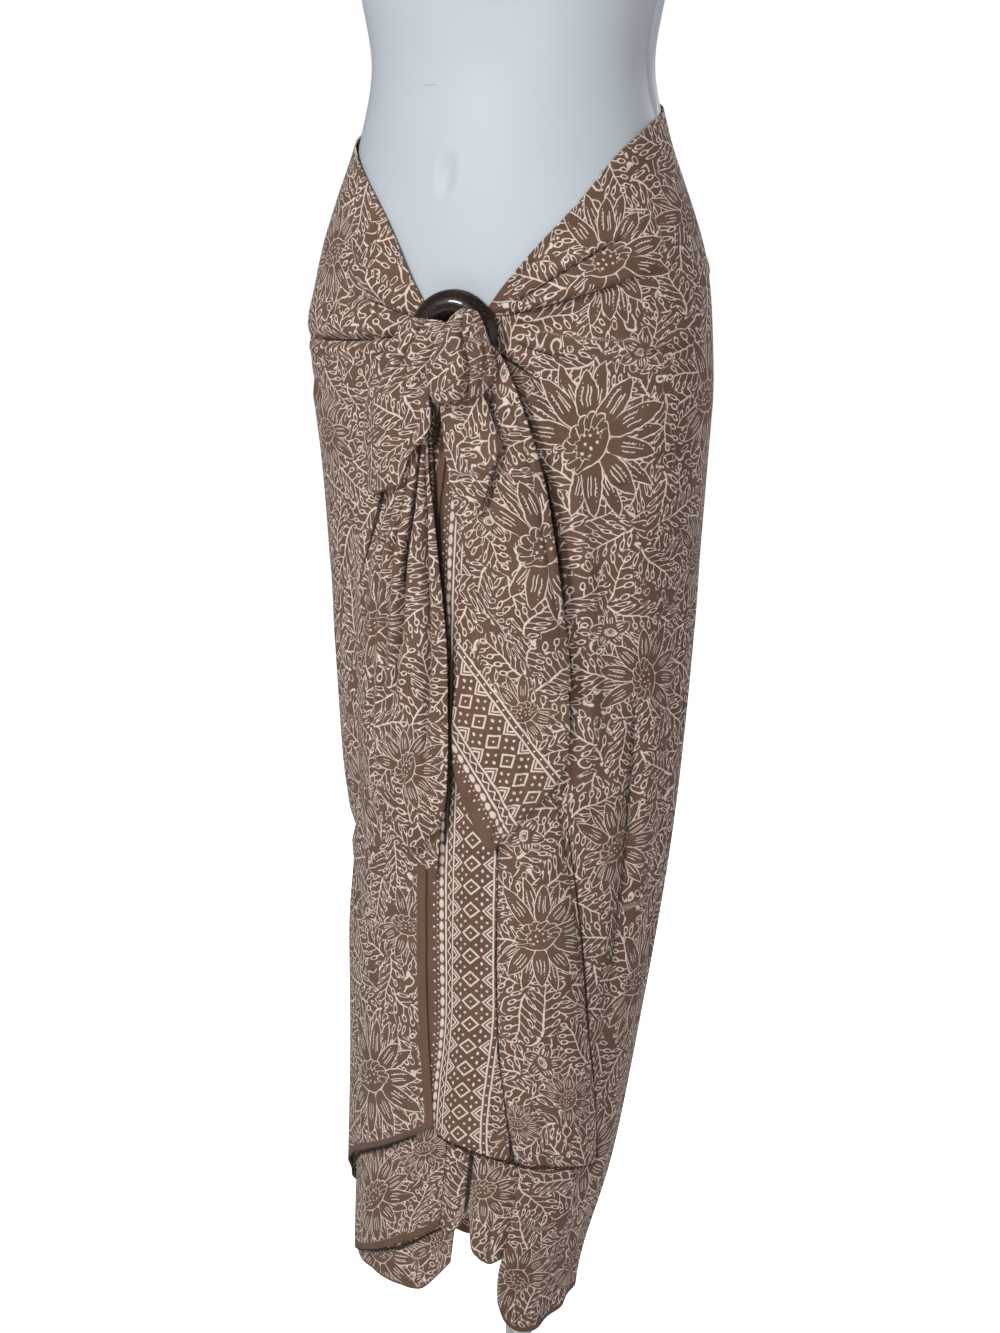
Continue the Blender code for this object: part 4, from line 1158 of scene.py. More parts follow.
@dataclass(frozen=True)
class BatikCloth:
    """Cotton dyed brown with the wax resist lines left pale."""

    ground: Triple = (0.140, 0.077, 0.051)
    ground_light: Triple = (0.182, 0.104, 0.070)
    pale: Triple = (0.87, 0.74, 0.65)
    # Near-black painted shade for the lines in creases, trough bottoms and gaps
    painted_shade: Triple = (0.016, 0.008, 0.006)
    line: float = 0.00050
    thread: float = 0.00055

    def make(self, motifs: Motifs) -> Finish:
        """The material, read from the cloth's own coordinates and its sunflower places.

        Args:
            motifs: The node groups of the print.

        Returns:
            The material.
        """
        material, net, shader = new_finish("batik_cloth")
        flat = net.place("ShaderNodeUVMap", uv_map="cloth")
        x0, y0, _ = net.split(flat)
        wander_x, wander_y, _ = net.split(net.noise(flat, 75.0, 2.0, 0.5, colour=True))
        x = x0 + (wander_x - 0.5) * 0.0042
        y = y0 + (wander_y - 0.5) * 0.0042
        thick = net.noise(flat, 260.0, 1.0)
        line = self.line * (0.55 + thick * 0.9)

        def field(size: float, turn: float, spread: float, seed: float) -> tuple[Wire, ...]:
            """One grid of cells on the cloth: local x and y, and two random numbers."""
            out = net.use(motifs.cell, X=x, Y=y, Size=size, Turn=turn, Spread=spread, Seed=seed)
            return tuple(out.values())

        def lay(over: Sequence[Wire], under: Sequence[Wire]) -> tuple[Wire, Wire]:
            """One motif, its lines and its area, on top of what lies below it."""
            return net.most(over[0], under[0] * (1.0 - over[1])), net.most(over[1], under[1])

        def sown(kind: Motif, size: float, turn: float, seed: float, share: float) -> list[Wire]:
            """A field of one motif, in this share of its cells."""
            group, spread, fill = {
                Motif.SPRIG: (motifs.sprig, 0.16, 0.90),
                Motif.LEAF: (motifs.leaf, 0.14, 0.92),
                Motif.SMALL_FLOWER: (motifs.flower, 0.42, 0.44),
            }[kind]
            across, up, first, second = field(size, turn, spread, seed)
            if kind is Motif.SMALL_FLOWER:
                own = {
                    "Petals": 5.0, "Width": 0.36, "Heart": 0.22, "Gap": -1.0, "Seed": first * 40.0
                }
            else:
                own = {"Lean": first}
            out = net.use(group, X=across / fill, Y=up / fill, Line=line * (2 / fill / size), **own)
            return [wire * (second < share) if share < 1.0 else wire for wire in out.values()]

        curl = net.stroke(net.off_round(net.noise(flat, 38.0, 1.5, 0.45) * 6.5), 0.09)
        across, up, first, _ = field(0.0120, 0.5, 0.2, 9.0)
        drop = net.calc("SQRT", across * across * 0.8 + up * up * 2.6)
        here = first < 0.60
        drops = net.stroke(drop - 0.52, line * 150.0)
        shown = lay((drops * here, (drop < 0.75) * here), (curl, drop < 0.0))
        for row in SOWN_ROWS:
            shown = lay(sown(*row), shown)

        bloom_x, bloom_y, near = net.split(net.read("bloom"))
        big = net.use(
            motifs.flower,
            X=bloom_x + (wander_x - 0.5) * 0.07, Y=bloom_y + (wander_y - 0.5) * 0.07, Petals=10.0,
            Width=0.155, Heart=0.31, Gap=1.3, Seed=2.0, Line=line * 17.0,
        )
        shown = lay([wire * near for wire in big.values()], shown)
        band = net.use(
            motifs.border, X=x0 + (wander_x - 0.5) * 0.0014, Y=y0 + (wander_y - 0.5) * 0.0014
        )
        shown = lay(tuple(band.values()), shown)

        edge = net.add("ShaderNodeAttribute", attribute_name="hem")
        edge = Wire(net, edge.outputs["Fac"])
        patchy = net.noise(flat, 420.0, 2.0, 0.6)
        drawn = shown[0] * net.step(edge, 0.0, 0.0016) * net.step(patchy, 0.22, 0.42)

        weave = net.use(motifs.weave, X=x0, Y=y0, Pitch=self.thread)
        mottle = net.noise(flat, 26.0, 3.0, 0.6) * 0.55 + weave["Streak"] * 0.55
        brown = net.blend(net.step(mottle, 0.38, 0.74), self.ground, self.ground_light)
        colour = net.blend(drawn * 0.93, brown, self.pale)
        fold_over = net.stroke(edge + 0.0016, 0.0007)
        colour = net.blend(fold_over * 0.35, colour, self.ground)
        # Painted shade: near-black lines along the deeper creases, the trough bottoms and the gaps
        # beside upper layers
        shade_aside, half, dark = net.split(net.read("shade_lines"))
        painted_shade = net.stroke(shade_aside + (thick - 0.5) * 0.0006, half) * dark
        colour = net.blend(painted_shade * 0.90, colour, self.painted_shade)
        rumple = net.noise(net.combine(x0 * 55.0, y0 * 16.0, 0.0), 1.0, 3.0, 0.55)
        rumple_2 = net.noise(net.combine(x0 * 20.0, y0 * 70.0, 5.0), 1.0, 3.0, 0.55)
        height = rumple * 0.0022 + rumple_2 * 0.0014 + weave["Height"] * 0.00010
        height = height + net.step(edge, 0.002, -0.001) * 0.0004
        net.fill(shader, {
            "Base Color": colour, "Roughness": 0.80 + weave["Streak"] * 0.14, "Sheen Weight": 0.06,
            "Sheen Roughness": 0.5, "Specular IOR Level": 0.20, "Normal": bumped(net, height),
        })
        return material


@dataclass(frozen=True)
class CoconutShell:
    """Polished coconut shell, dark with short pale flecks."""

    dark: Triple = (0.0055, 0.0022, 0.0015)
    brown: Triple = (0.015, 0.0054, 0.0032)
    fleck: Triple = (0.085, 0.034, 0.020)

    def make(self) -> Finish:
        """The material."""
        material, net, shader = new_finish("coconut_shell")
        place = net.object_place()
        px, py, pz = net.split(place)
        cloud = net.noise(place, 60.0, 3.0, 0.6)
        streaks = net.noise(net.combine(px * 420.0, py * 420.0, pz * 1300.0), 1.0, 2.0, 0.65)
        colour = net.blend(net.step(cloud, 0.35, 0.68), self.dark, self.brown)
        colour = net.blend(net.step(streaks, 0.52, 0.64) * 0.70, colour, self.fleck)
        net.fill(shader, {
            "Base Color": colour, "Roughness": 0.34 + cloud * 0.16, "Specular IOR Level": 0.30,
            "Coat Weight": 0.5, "Coat Roughness": 0.07,
            "Normal": bumped(net, cloud * 0.0004 + streaks * 0.00006),
        })
        return material


@dataclass(frozen=True)
class FormPlastic:
    """Satin moulded plastic, grey white with a blue tint."""

    pale: Triple = (0.54, 0.585, 0.64)
    shade: Triple = (0.51, 0.555, 0.61)
    mark: tuple[float, float] = (-0.037, 1.2268)
    mark_colour: Triple = (0.20, 0.22, 0.25)

    def make(self) -> Finish:
        """The material."""
        material, net, shader = new_finish("form_plastic")
        place = net.object_place()
        cloud = net.noise(place, 9.0, 3.0, 0.55)
        grain = net.noise(place, 900.0, 2.0, 0.5)
        px, _, pz = net.split(place)
        mark = net.stroke(pz - self.mark[1], 0.0004) * net.stroke(px - self.mark[0], 0.008)
        plain = net.blend(cloud, self.shade, self.pale)
        net.fill(shader, {
            "Base Color": net.blend(mark * 0.45, plain, self.mark_colour),
            "Roughness": 0.44 + cloud * 0.10 + grain * 0.05,
            "Normal": bumped(net, cloud * 0.0006 + grain * 0.00003),
        })
        return material


@dataclass(frozen=True)
class StandMetal:
    """Brushed plated steel."""

    bright: Triple = (0.72, 0.72, 0.73)
    dull: Triple = (0.50, 0.50, 0.52)

    def make(self) -> Finish:
        """The material."""
        material, net, shader = new_finish("stand_metal")
        px, py, pz = net.split(net.object_place())
        reach = net.length(px, py)
        brushed = net.noise(net.combine(reach * 1800.0, px * 6.0, pz * 1800.0), 1.0, 2.0, 0.6)
        smudge = net.noise(net.combine(px, py, pz), 26.0, 3.0, 0.55)
        net.fill(shader, {
            "Base Color": net.blend(brushed * 0.7 + smudge * 0.3, self.dull, self.bright),
            "Roughness": 0.24 + brushed * 0.14 + smudge * 0.12,
            "Metallic": 1.0, "Normal": bumped(net, brushed * 0.00004),
        })
        return material


@dataclass(frozen=True)
class StudioWhite:
    """The pale sweep of floor and backdrop."""

    white: Triple = (0.88, 0.88, 0.88)

    def make(self) -> Finish:
        """The material."""
        material, net, shader = new_finish("studio_white")
        cloud = net.noise(net.object_place(), 2.0, 2.0, 0.5)
        soft = tuple(0.985 * value for value in self.white)
        net.fill(shader, {
            "Base Color": net.blend(cloud, soft, self.white), "Roughness": 0.9,
            "Emission Color": (1.0, 1.0, 1.0), "Emission Strength": net.place("ShaderNodeLightPath"),
        })
        return material


class Edge(Enum):
    """The four edges of a stretch of cloth, as its grid has them."""

    TOP = "top"
    BOTTOM = "bottom"
    LEFT = "left"
    RIGHT = "right"


def edge_distances(points: Array) -> dict[Edge, Array]:
    """Distance from each of the four edges, summed along the grid's own lines."""
    down = np.linalg.norm(np.diff(points, axis=0), axis=-1)
    across = np.linalg.norm(np.diff(points, axis=1), axis=-1)
    from_top = np.vstack([np.zeros((1, points.shape[1])), np.cumsum(down, axis=0)])
    from_left = np.hstack([np.zeros((points.shape[0], 1)), np.cumsum(across, axis=1)])
    return {
        Edge.TOP: from_top,
        Edge.BOTTOM: from_top[-1:] - from_top,
        Edge.LEFT: from_left,
        Edge.RIGHT: from_left[:, -1:] - from_left,
    }


def hem_distance(points: Array, margins: dict[Edge, float]) -> Array:
    """Distance inside the bare margin of the nearest hem, negative on the margin itself."""
    distances = edge_distances(points)
    nearest = np.full(points.shape[:2], 1.0)
    for edge, margin in margins.items():
        nearest = np.minimum(nearest, distances[edge] - margin)
    return nearest


@dataclass(frozen=True)
class Dressing:
    """What every stretch of cloth shares: its finish and wall."""

    finish: Finish
    slot: str = "batik_cloth"
    body: str = "root"
    wall: float = 0.0012

    def hang(
        self, name: str, node: str, grid: ClothGrid, blooms: Sequence[Bloom], held: str,
        rests_on: Sequence[str],
    ) -> Piece:
        """Makes a stretch of cloth from its grid, in place of its solid.

        Args:
            name: Name of the piece.
            node: The solid that it stands for.
            grid: The stretch's grid.
            blooms: The sunflowers on it.
            rests_on: What it lies on or hangs from; not used.

        Returns:
            The piece.
        """
        rows, columns = grid.angle.shape
        faces = index_faces(rows, columns)
        mesh = make_mesh(name, grid.points().reshape(-1, 3), faces)
        layer = mesh.uv_layers.new(name="cloth")
        corners = grid.flat.reshape(-1, 2)[faces.ravel()]
        layer.data.foreach_set("uv", corners.astype(np.float32).ravel())
        for label, kind, key, values in (
            ("hem", "FLOAT", "value", grid.hem),
            ("bloom", "FLOAT_VECTOR", "vector", grid.petals(blooms)),
            ("shade_lines", "FLOAT_VECTOR", "vector", grid.shade_lines),
        ):
            attribute = mesh.attributes.new(label, kind, "POINT")
            attribute.data.foreach_set(key, values.astype(np.float32).ravel())
        piece = show(name, mesh, self.finish)
        wall = piece.modifiers.new("wall", "SOLIDIFY")
        wall.thickness = self.wall
        wall.offset = 1.0
        width, length = grid.cut()
        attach(piece, self.body)
        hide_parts(node)
        log.info(
            "%s: %d x %d points, cut %.3f x %.3f m, %.4f m2",
            name, rows, columns, width, length, grid.area(),
        )
        return piece


def wrap_grid(
    edges: tuple[Callable[[Array], Array], Callable[[Array], Array]],
    top_rows: Rows,
    hem_rows: Rows,
    over_at: Callable[[Array], Array],
    down: Array,
    across: Array,
    margins: dict[Edge, float],
    shift: float,
) -> ClothGrid:
    """A stretch of the main wrap.

    A row's height is top + (hem - top) s at its own angle, so the angle is settled in a few
    rounds of averaging.

    Args:
        edges: Angle of the left and of the right edge at a height.
        top_rows: The upper edge, angle and height.
        hem_rows: The lower edge, angle and height.
        over_at: 1 where the stretch covers the border, by angle.
        down: Shares from the top to the hem.
        across: Shares from the left to the right.
        margins: Bare margin along each hem.
        shift: Cloth coordinate at the middle of the front.

    Returns:
        The grid.
    """
    share = down[:, None]
    across = across[None, :] + 0 * share

    def angle_at(height: Array) -> Array:
        """The angle at each share across from edge to edge."""
        left, right = (edge(height) for edge in edges)
        return left + (right - left) * across

    angle = angle_at(np.full(across.shape, 0.9))
    for _ in range(12):
        top = along(top_rows, turn_from(angle, 0.0))[0]
        height = top + (along(hem_rows, angle)[0] - top) * share
        angle = 0.5 * angle + 0.5 * angle_at(height)
    lift = RELIEF.lift(angle, height, over_at(angle))
    grid = ClothGrid(angle, height, lift)
    grid.flat = side_by_side(shift + BODY.arc(angle, height), height)
    grid.hem = hem_distance(grid.points(), margins)
    # Painted shade lines of the wrap's creases and gaps
    grid.shade_lines = RELIEF.creases(angle, height)[1]
    return grid


def crowded(rows: int) -> Array:
    """Shares from the top to the hem, over half of them in the first quarter."""
    upper = int(rows * 0.56)
    return np.append(np.linspace(0, 0.26, upper), np.linspace(0.26, 1, rows - upper + 1)[1:])


@dataclass
class Wrap:
    """The wrap round the hips: left front and side, back, right front and side, and border."""

    dressing: Dressing
    seam: float = 0.0006
    seam_angle: float = 100.0
    side_radius: float = 0.16
    border_overlap: float = 6.5
    border_gap: float = 0.15
    slant: Triple = (0.016, 0.44, 0.13)
    hidden_edge: float = 0.0125
    front_grid: tuple[int, int] = (200, 200)
    back_grid: tuple[int, int] = (150, 190)
    border_grid: tuple[int, int] = (150, 60)
    crowding: float = 1.12
    turned_in: float = 0.002
    left_shift: float = 1.60
    right_shift: float = 0.60
    left_blooms: tuple[Bloom, ...] = sunflowers(
        (-32, 0.352, 0.062, 20), (-74, 0.7, 0.056, 80), (-60, 0.905, 0.046, 10),
        (-80, 0.52, 0.056, 40), (-44, 0.6, 0.05, 70, 0.85), (-95, 0.97, 0.052, 120),
        (-92, 0.29, 0.054, 10), (-58, 1.055, 0.044, 200), (-14, 0.5, 0.045, 0, 0.8),
    )
    back_blooms: tuple[Bloom, ...] = sunflowers(
        (118, 1.07, 0.056, 30), (158, 1.13, 0.05, 10), (199, 1.05, 0.058, 95),
        (240, 1.1, 0.054, 10), (136, 0.93, 0.056, 60), (178, 0.9, 0.058, 150),
        (222, 0.9, 0.056, 220), (252, 0.78, 0.052, 20), (118, 0.77, 0.056, 100),
        (158, 0.73, 0.058, 0), (200, 0.71, 0.056, 70), (136, 0.59, 0.056, 130),
        (180, 0.55, 0.058, 30), (228, 0.58, 0.056, 60), (112, 0.42, 0.054, 10),
        (155, 0.39, 0.058, 80), (205, 0.38, 0.056, 150), (248, 0.36, 0.054, 10),
        (134, 0.225, 0.056, 40), (182, 0.215, 0.058, 120), (226, 0.225, 0.056, 10),
    )
    right_blooms: tuple[Bloom, ...] = sunflowers(
        (58, 1.05, 0.055, 25), (51.9, 0.909, 0.07, 60), (71.7, 0.711, 0.048, 100),
        (92, 0.94, 0.056, 10), (90, 1.085, 0.046, 80), (66, 0.575, 0.046, 40),
        (88, 0.44, 0.056, 10), (72, 0.285, 0.056, 70), (92, 0.17, 0.045, 10),
        (22, 0.955, 0.03, 10), (50, 0.175, 0.046, 140, 0.85), (92, 0.81, 0.04, 30),
    )

    def left_edge(self, height: Array) -> Array:
        """The left front's free edge over the border."""
        return along(LEFT_EDGE_ROWS, height)[0]

    def right_edge(self, height: Array) -> Array:
        """Where the right front comes out from under the border stretch."""
        return along(RIGHT_EDGE_ROWS, height)[0]

    def seam_at(self, angle: float, side: float) -> Callable[[Array], Array]:
        """The edge beside a side seam; the shells of the two sides all but meet there."""
        half = math.degrees(0.25 * self.seam / self.side_radius)
        return lambda height: angle + side * half + 0 * height

    def make_left(self) -> Piece:
        """The left front and side, over the border stretch."""
        rows, columns = self.front_grid
        grid = wrap_grid(
            (self.seam_at(-self.seam_angle, 1), self.left_edge), TOP_ROWS, HEM_ROWS,
            lambda angle: 1 + 0 * angle, crowded(rows),
            1 - np.linspace(1, 0, columns) ** self.crowding,
            {Edge.BOTTOM: 0.006, Edge.RIGHT: 0.008, Edge.TOP: -self.turned_in}, self.left_shift,
        )
        return self.dressing.hang(
            "left_front", "wrap_left", grid, self.left_blooms, "draped", ["torso"]
        )

    def make_back(self) -> Piece:
        """The back, from side to side."""
        rows, columns = self.back_grid
        grid = wrap_grid(
            (self.seam_at(self.seam_angle, 1), self.seam_at(360 - self.seam_angle, -1)),
            TOP_ROWS, BACK_HEM_ROWS, lambda angle: ramp((angle - 190) / 70),
            np.linspace(0, 1, rows), np.linspace(0, 1, columns),
            {Edge.BOTTOM: 0.006, Edge.TOP: -self.turned_in}, self.right_shift,
        )
        return self.dressing.hang(
            "back_drape", "wrap_back", grid, self.back_blooms, "draped", ["torso"]
        )

    def make_right(self) -> Piece:
        """The right front and side."""
        rows, columns = self.front_grid
        grid = wrap_grid(
            (self.right_edge, self.seam_at(self.seam_angle, -1)), TOP_ROWS, RIGHT_HEM_ROWS,
            lambda angle: 0 * angle, crowded(rows), np.linspace(0, 1, columns) ** self.crowding,
            {Edge.BOTTOM: 0.004, Edge.TOP: -self.turned_in}, self.right_shift,
        )
        return self.dressing.hang(
            "right_front", "wrap_right", grid, self.right_blooms, "draped", ["torso"]
        )

    def make_border(self) -> Piece:
        """The short end with its patterned band, in the middle of the front."""
        rows, columns = self.border_grid
        grid = wrap_grid(
            (lambda z: self.left_edge(z) - self.border_overlap,
             lambda z: self.right_edge(z) - self.border_gap),
            BORDER_TOP_ROWS, BORDER_HEM_ROWS, lambda angle: 0 * angle,
            np.linspace(0, 1, rows), np.linspace(0, 1, columns), {Edge.BOTTOM: 0.0}, 0.0,
        )
        most, start, length = self.slant
        slant = most * ramp((start - grid.height) / length)
        grid.flat[..., 0] = edge_distances(grid.points())[Edge.LEFT] - self.hidden_edge + slant
        return self.dressing.hang(
            "border_stretch", "front_border", grid, (), "hung", ["left_front"]
        )

    def make(self) -> list[Piece]:
        """All four stretches."""
        return [self.make_left(), self.make_back(), self.make_right(), self.make_border()]


@dataclass(frozen=True)
class Strip:
    """A stretch of cloth ruled from a left edge to a right edge.

    Attributes:
        name: Name of the piece.
        node: The solid that it stands for.
        rows: Left angle and height, right angle and height, and three lifts, from top to bottom.
        folds: Troughs: place across, drift down, start, run in, fade, run out, the half widths on
            the left and on the right, depth.
        hem_rows: A hem that its lower half eases down to, by angle.
        size: Rows and columns of the grid.
        shift: Cloth coordinates of the middle of its top.
        hem_margin: Bare margin along its lower hem, where it has one.
        blooms: Sunflowers on it.
        held: How it is held.
        rests_on: What it lies on or hangs from.
        short_edge: Angle and height of a point on the cloth's short edge, and the edge's slope.
        lines: Painted shade along the bottoms of troughs: place, drift, start, run in, fade, run
            out, half width, darkness.
    """

    name: str
    node: str
    rows: Rows
    folds: Rows = ()
    hem_rows: Rows | None = None
    size: tuple[int, int] = (100, 90)
    shift: tuple[float, float] = (0.6, 0.5)
    hem_margin: float | None = None
    blooms: tuple[Bloom, ...] = ()
    held: str = "hung"
    rests_on: tuple[str, ...] = ("left_front",)
    short_edge: Triple | None = None
    lines: Rows = ()

    def painted_trough_shade(self, across: Array, down: Array, span: Array) -> Array:
        """Painted shade along the bottoms of the troughs.

        Args:
            across: Shares from the left edge to the right.
            down: Shares from the top to the bottom.
            span: Width of each row in metres.

        Returns:
            For each point the distance from its nearest painted shade line, the half width and how
            dark it is.
        """
        marks = Nearest((down.shape[0], across.shape[1]))
        for place, drift, *times, width, dark in self.lines:
            grown = come_and_go(down, *times)
            aside = (across - place - drift * down) * span
            line = painted_shade_line(aside, width * grown, dark * grown, width)
            marks.offer(np.abs(aside), line, grown > 0.01)
        return marks.values

    def relief(self, across: Array, down: Array) -> Array:
        """The troughs, each a bell across its line that fades in and out down it."""
        rise = 0 * across * down
        for place, drift, *times, left, right, depth in self.folds:
            grown = come_and_go(down, *times)
            aside = across - place - drift * down
            rise = rise - depth * grown * hump(aside, np.where(aside < 0, left, right))
        return rise

    def grid(self) -> ClothGrid:
        """The grid: the lift is an arch sin(pi s)^0.75 through the three lifts, less the troughs."""
        row_count, column_count = self.size
        table = np.asarray(self.rows, float)
        keyed = np.column_stack([np.arange(len(table)), table])
        steps = len(table) - 1
        down = np.linspace(0, steps, row_count)
        edges = [column[:, None] for column in along(keyed, down)]
        left, left_z, right, right_z, lift_l, lift_m, lift_r = edges
        across = np.linspace(0, 1, column_count)[None, :]
        angle = left + (right - left) * across
        height = left_z + (right_z - left_z) * across
        if self.hem_rows is not None:
            eased = ramp(down[:, None] / steps * 1.6 - 0.6)
            height = height + (along(self.hem_rows, angle)[0] - height[-1:]) * eased
        arch = np.sin(math.pi * across) ** 0.75
        share = down[:, None] / steps
        lift = lift_l + (lift_r - lift_l) * across
        lift = lift + (lift_m - (lift_l + lift_r) / 2) * arch + self.relief(across, share)
        grid = ClothGrid(angle, height, lift)
        points = grid.points()
        distances = edge_distances(points)
        middle = column_count // 2
        x = distances[Edge.LEFT] - distances[Edge.LEFT][:, [middle]]
        y = -distances[Edge.TOP][:, [middle]] + 0 * x
        grid.flat = side_by_side(self.shift[0] + x, self.shift[1] + y)
        if self.short_edge is not None:
            grid.flat = self.from_short_edge(grid, x, y)
        margins = {} if self.hem_margin is None else {Edge.BOTTOM: self.hem_margin}
        grid.hem = hem_distance(points, margins)
        span = distances[Edge.LEFT].max(axis=1, keepdims=True)
        # Painted shade along the trough bottoms
        grid.shade_lines = self.painted_trough_shade(across, share, span)
        # Layers on the form also take the painted shade of the wrap's creases and gaps
        if self.rests_on == ("torso",):
            under = RELIEF.creases(angle, height)[1]
            grid.shade_lines = np.where(under[..., 2:] > 0, under, grid.shade_lines)
        return grid

    def from_short_edge(self, grid: ClothGrid, x: Array, y: Array) -> Array:
        """Turns the cloth coordinates so that the first is the distance from the short edge.

        Args:
            grid: The strip's grid.
            x: Distance across from the middle column.
            y: Distance down, negative.

        Returns:
            The turned coordinates.
        """
        *place, slope = self.short_edge
        nearest = grid.nearest(*place)
        x, y = x - x[nearest], y - y[nearest]
        cos, sin = math.cos(math.radians(slope)), math.sin(math.radians(slope))
        return side_by_side(y * cos - x * sin, x * cos + y * sin)


@dataclass
class FrontLayers:
    """The pleat over the border stretch, and the lower layers inside the hem."""

    dressing: Dressing
    pleat: Strip = Strip(
        "folded_pleat", "front_pleat", PLEAT_STRIP, hem_rows=PLEAT_HEM_ROWS, size=(120, 70),
        folds=(
            (0.36, 0, 0.4, 0.6, 2, 1, 0.09, 0.1, 0.0046),
            (0.68, -0.1, 0.5, 0.4, 2, 1, 0.07, 0.09, 0.0024),
            (0.16, 0, 0.3, 0.4, 2, 1, 0.06, 0.07, 0.001),
        ),
        shift=(0.25, 0.88), hem_margin=0.0,
        blooms=sunflowers((38.5, 0.5, 0.052, 15), (55.4, 0.352, 0.03, 50), (37, 0.335, 0.024, 0)),
        rests_on=("border_stretch", "right_front"),
    )
    middle: Strip = Strip(
        "under_middle", "inner_middle", MIDDLE_STRIP, hem_rows=MIDDLE_HEM_ROWS, size=(60, 110),
        folds=(
            (0.3, 0, 0.3, 0.6, 2, 1, 0.04, 0.06, 0.0014),
            (0.62, 0, 0.2, 0.6, 2, 1, 0.05, 0.05, 0.001),
        ),
        shift=(1.50, 0.30), hem_margin=0.007,
        blooms=sunflowers((-31, 0.24, 0.056, 30), (-66, 0.235, 0.042, 70), (-2, 0.3, 0.032, 10)),
        rests_on=("torso",),
    )
    low: Strip = Strip(
        "under_low", "inner_low", LOW_STRIP, hem_rows=LOW_HEM_ROWS, size=(56, 110),
        folds=(
            (0.45, 0, 0.2, 0.6, 2, 1, 0.06, 0.06, 0.0012),
            (0.8, 0, 0.2, 0.6, 2, 1, 0.03, 0.05, 0.0016),
        ),
        shift=(1.10, 0.30), hem_margin=0.0015,
        blooms=sunflowers((-28, 0.185, 0.05, 10), (-68, 0.2, 0.045, 50), (8, 0.215, 0.035, 90)),
        rests_on=("torso",),
    )
    centre: Strip = Strip(
        "under_centre", "inner_centre", CENTRE_STRIP, hem_rows=CENTRE_HEM_ROWS, size=(70, 90),
        folds=(
            (0.4, 0, 0, 1, 2, 1, 0.1, 0.12, 0.005),
            (0.74, 0, 0.3, 0.6, 2, 1, 0.05, 0.06, 0.0018),
        ),
        shift=(0.45, 0.30), hem_margin=0.0015,
        blooms=sunflowers((27, 0.268, 0.036, 30)), rests_on=("torso",),
        # Painted shade along the trough bottom
        lines=((0.3, 0.04, 0.14, 0.1, 0.84, 0.16, 0.0022, 1),),
    )

    def make(self) -> list[Piece]:
        """All four layers."""
        return hang_strips(self.dressing, self.pleat, self.middle, self.low, self.centre)


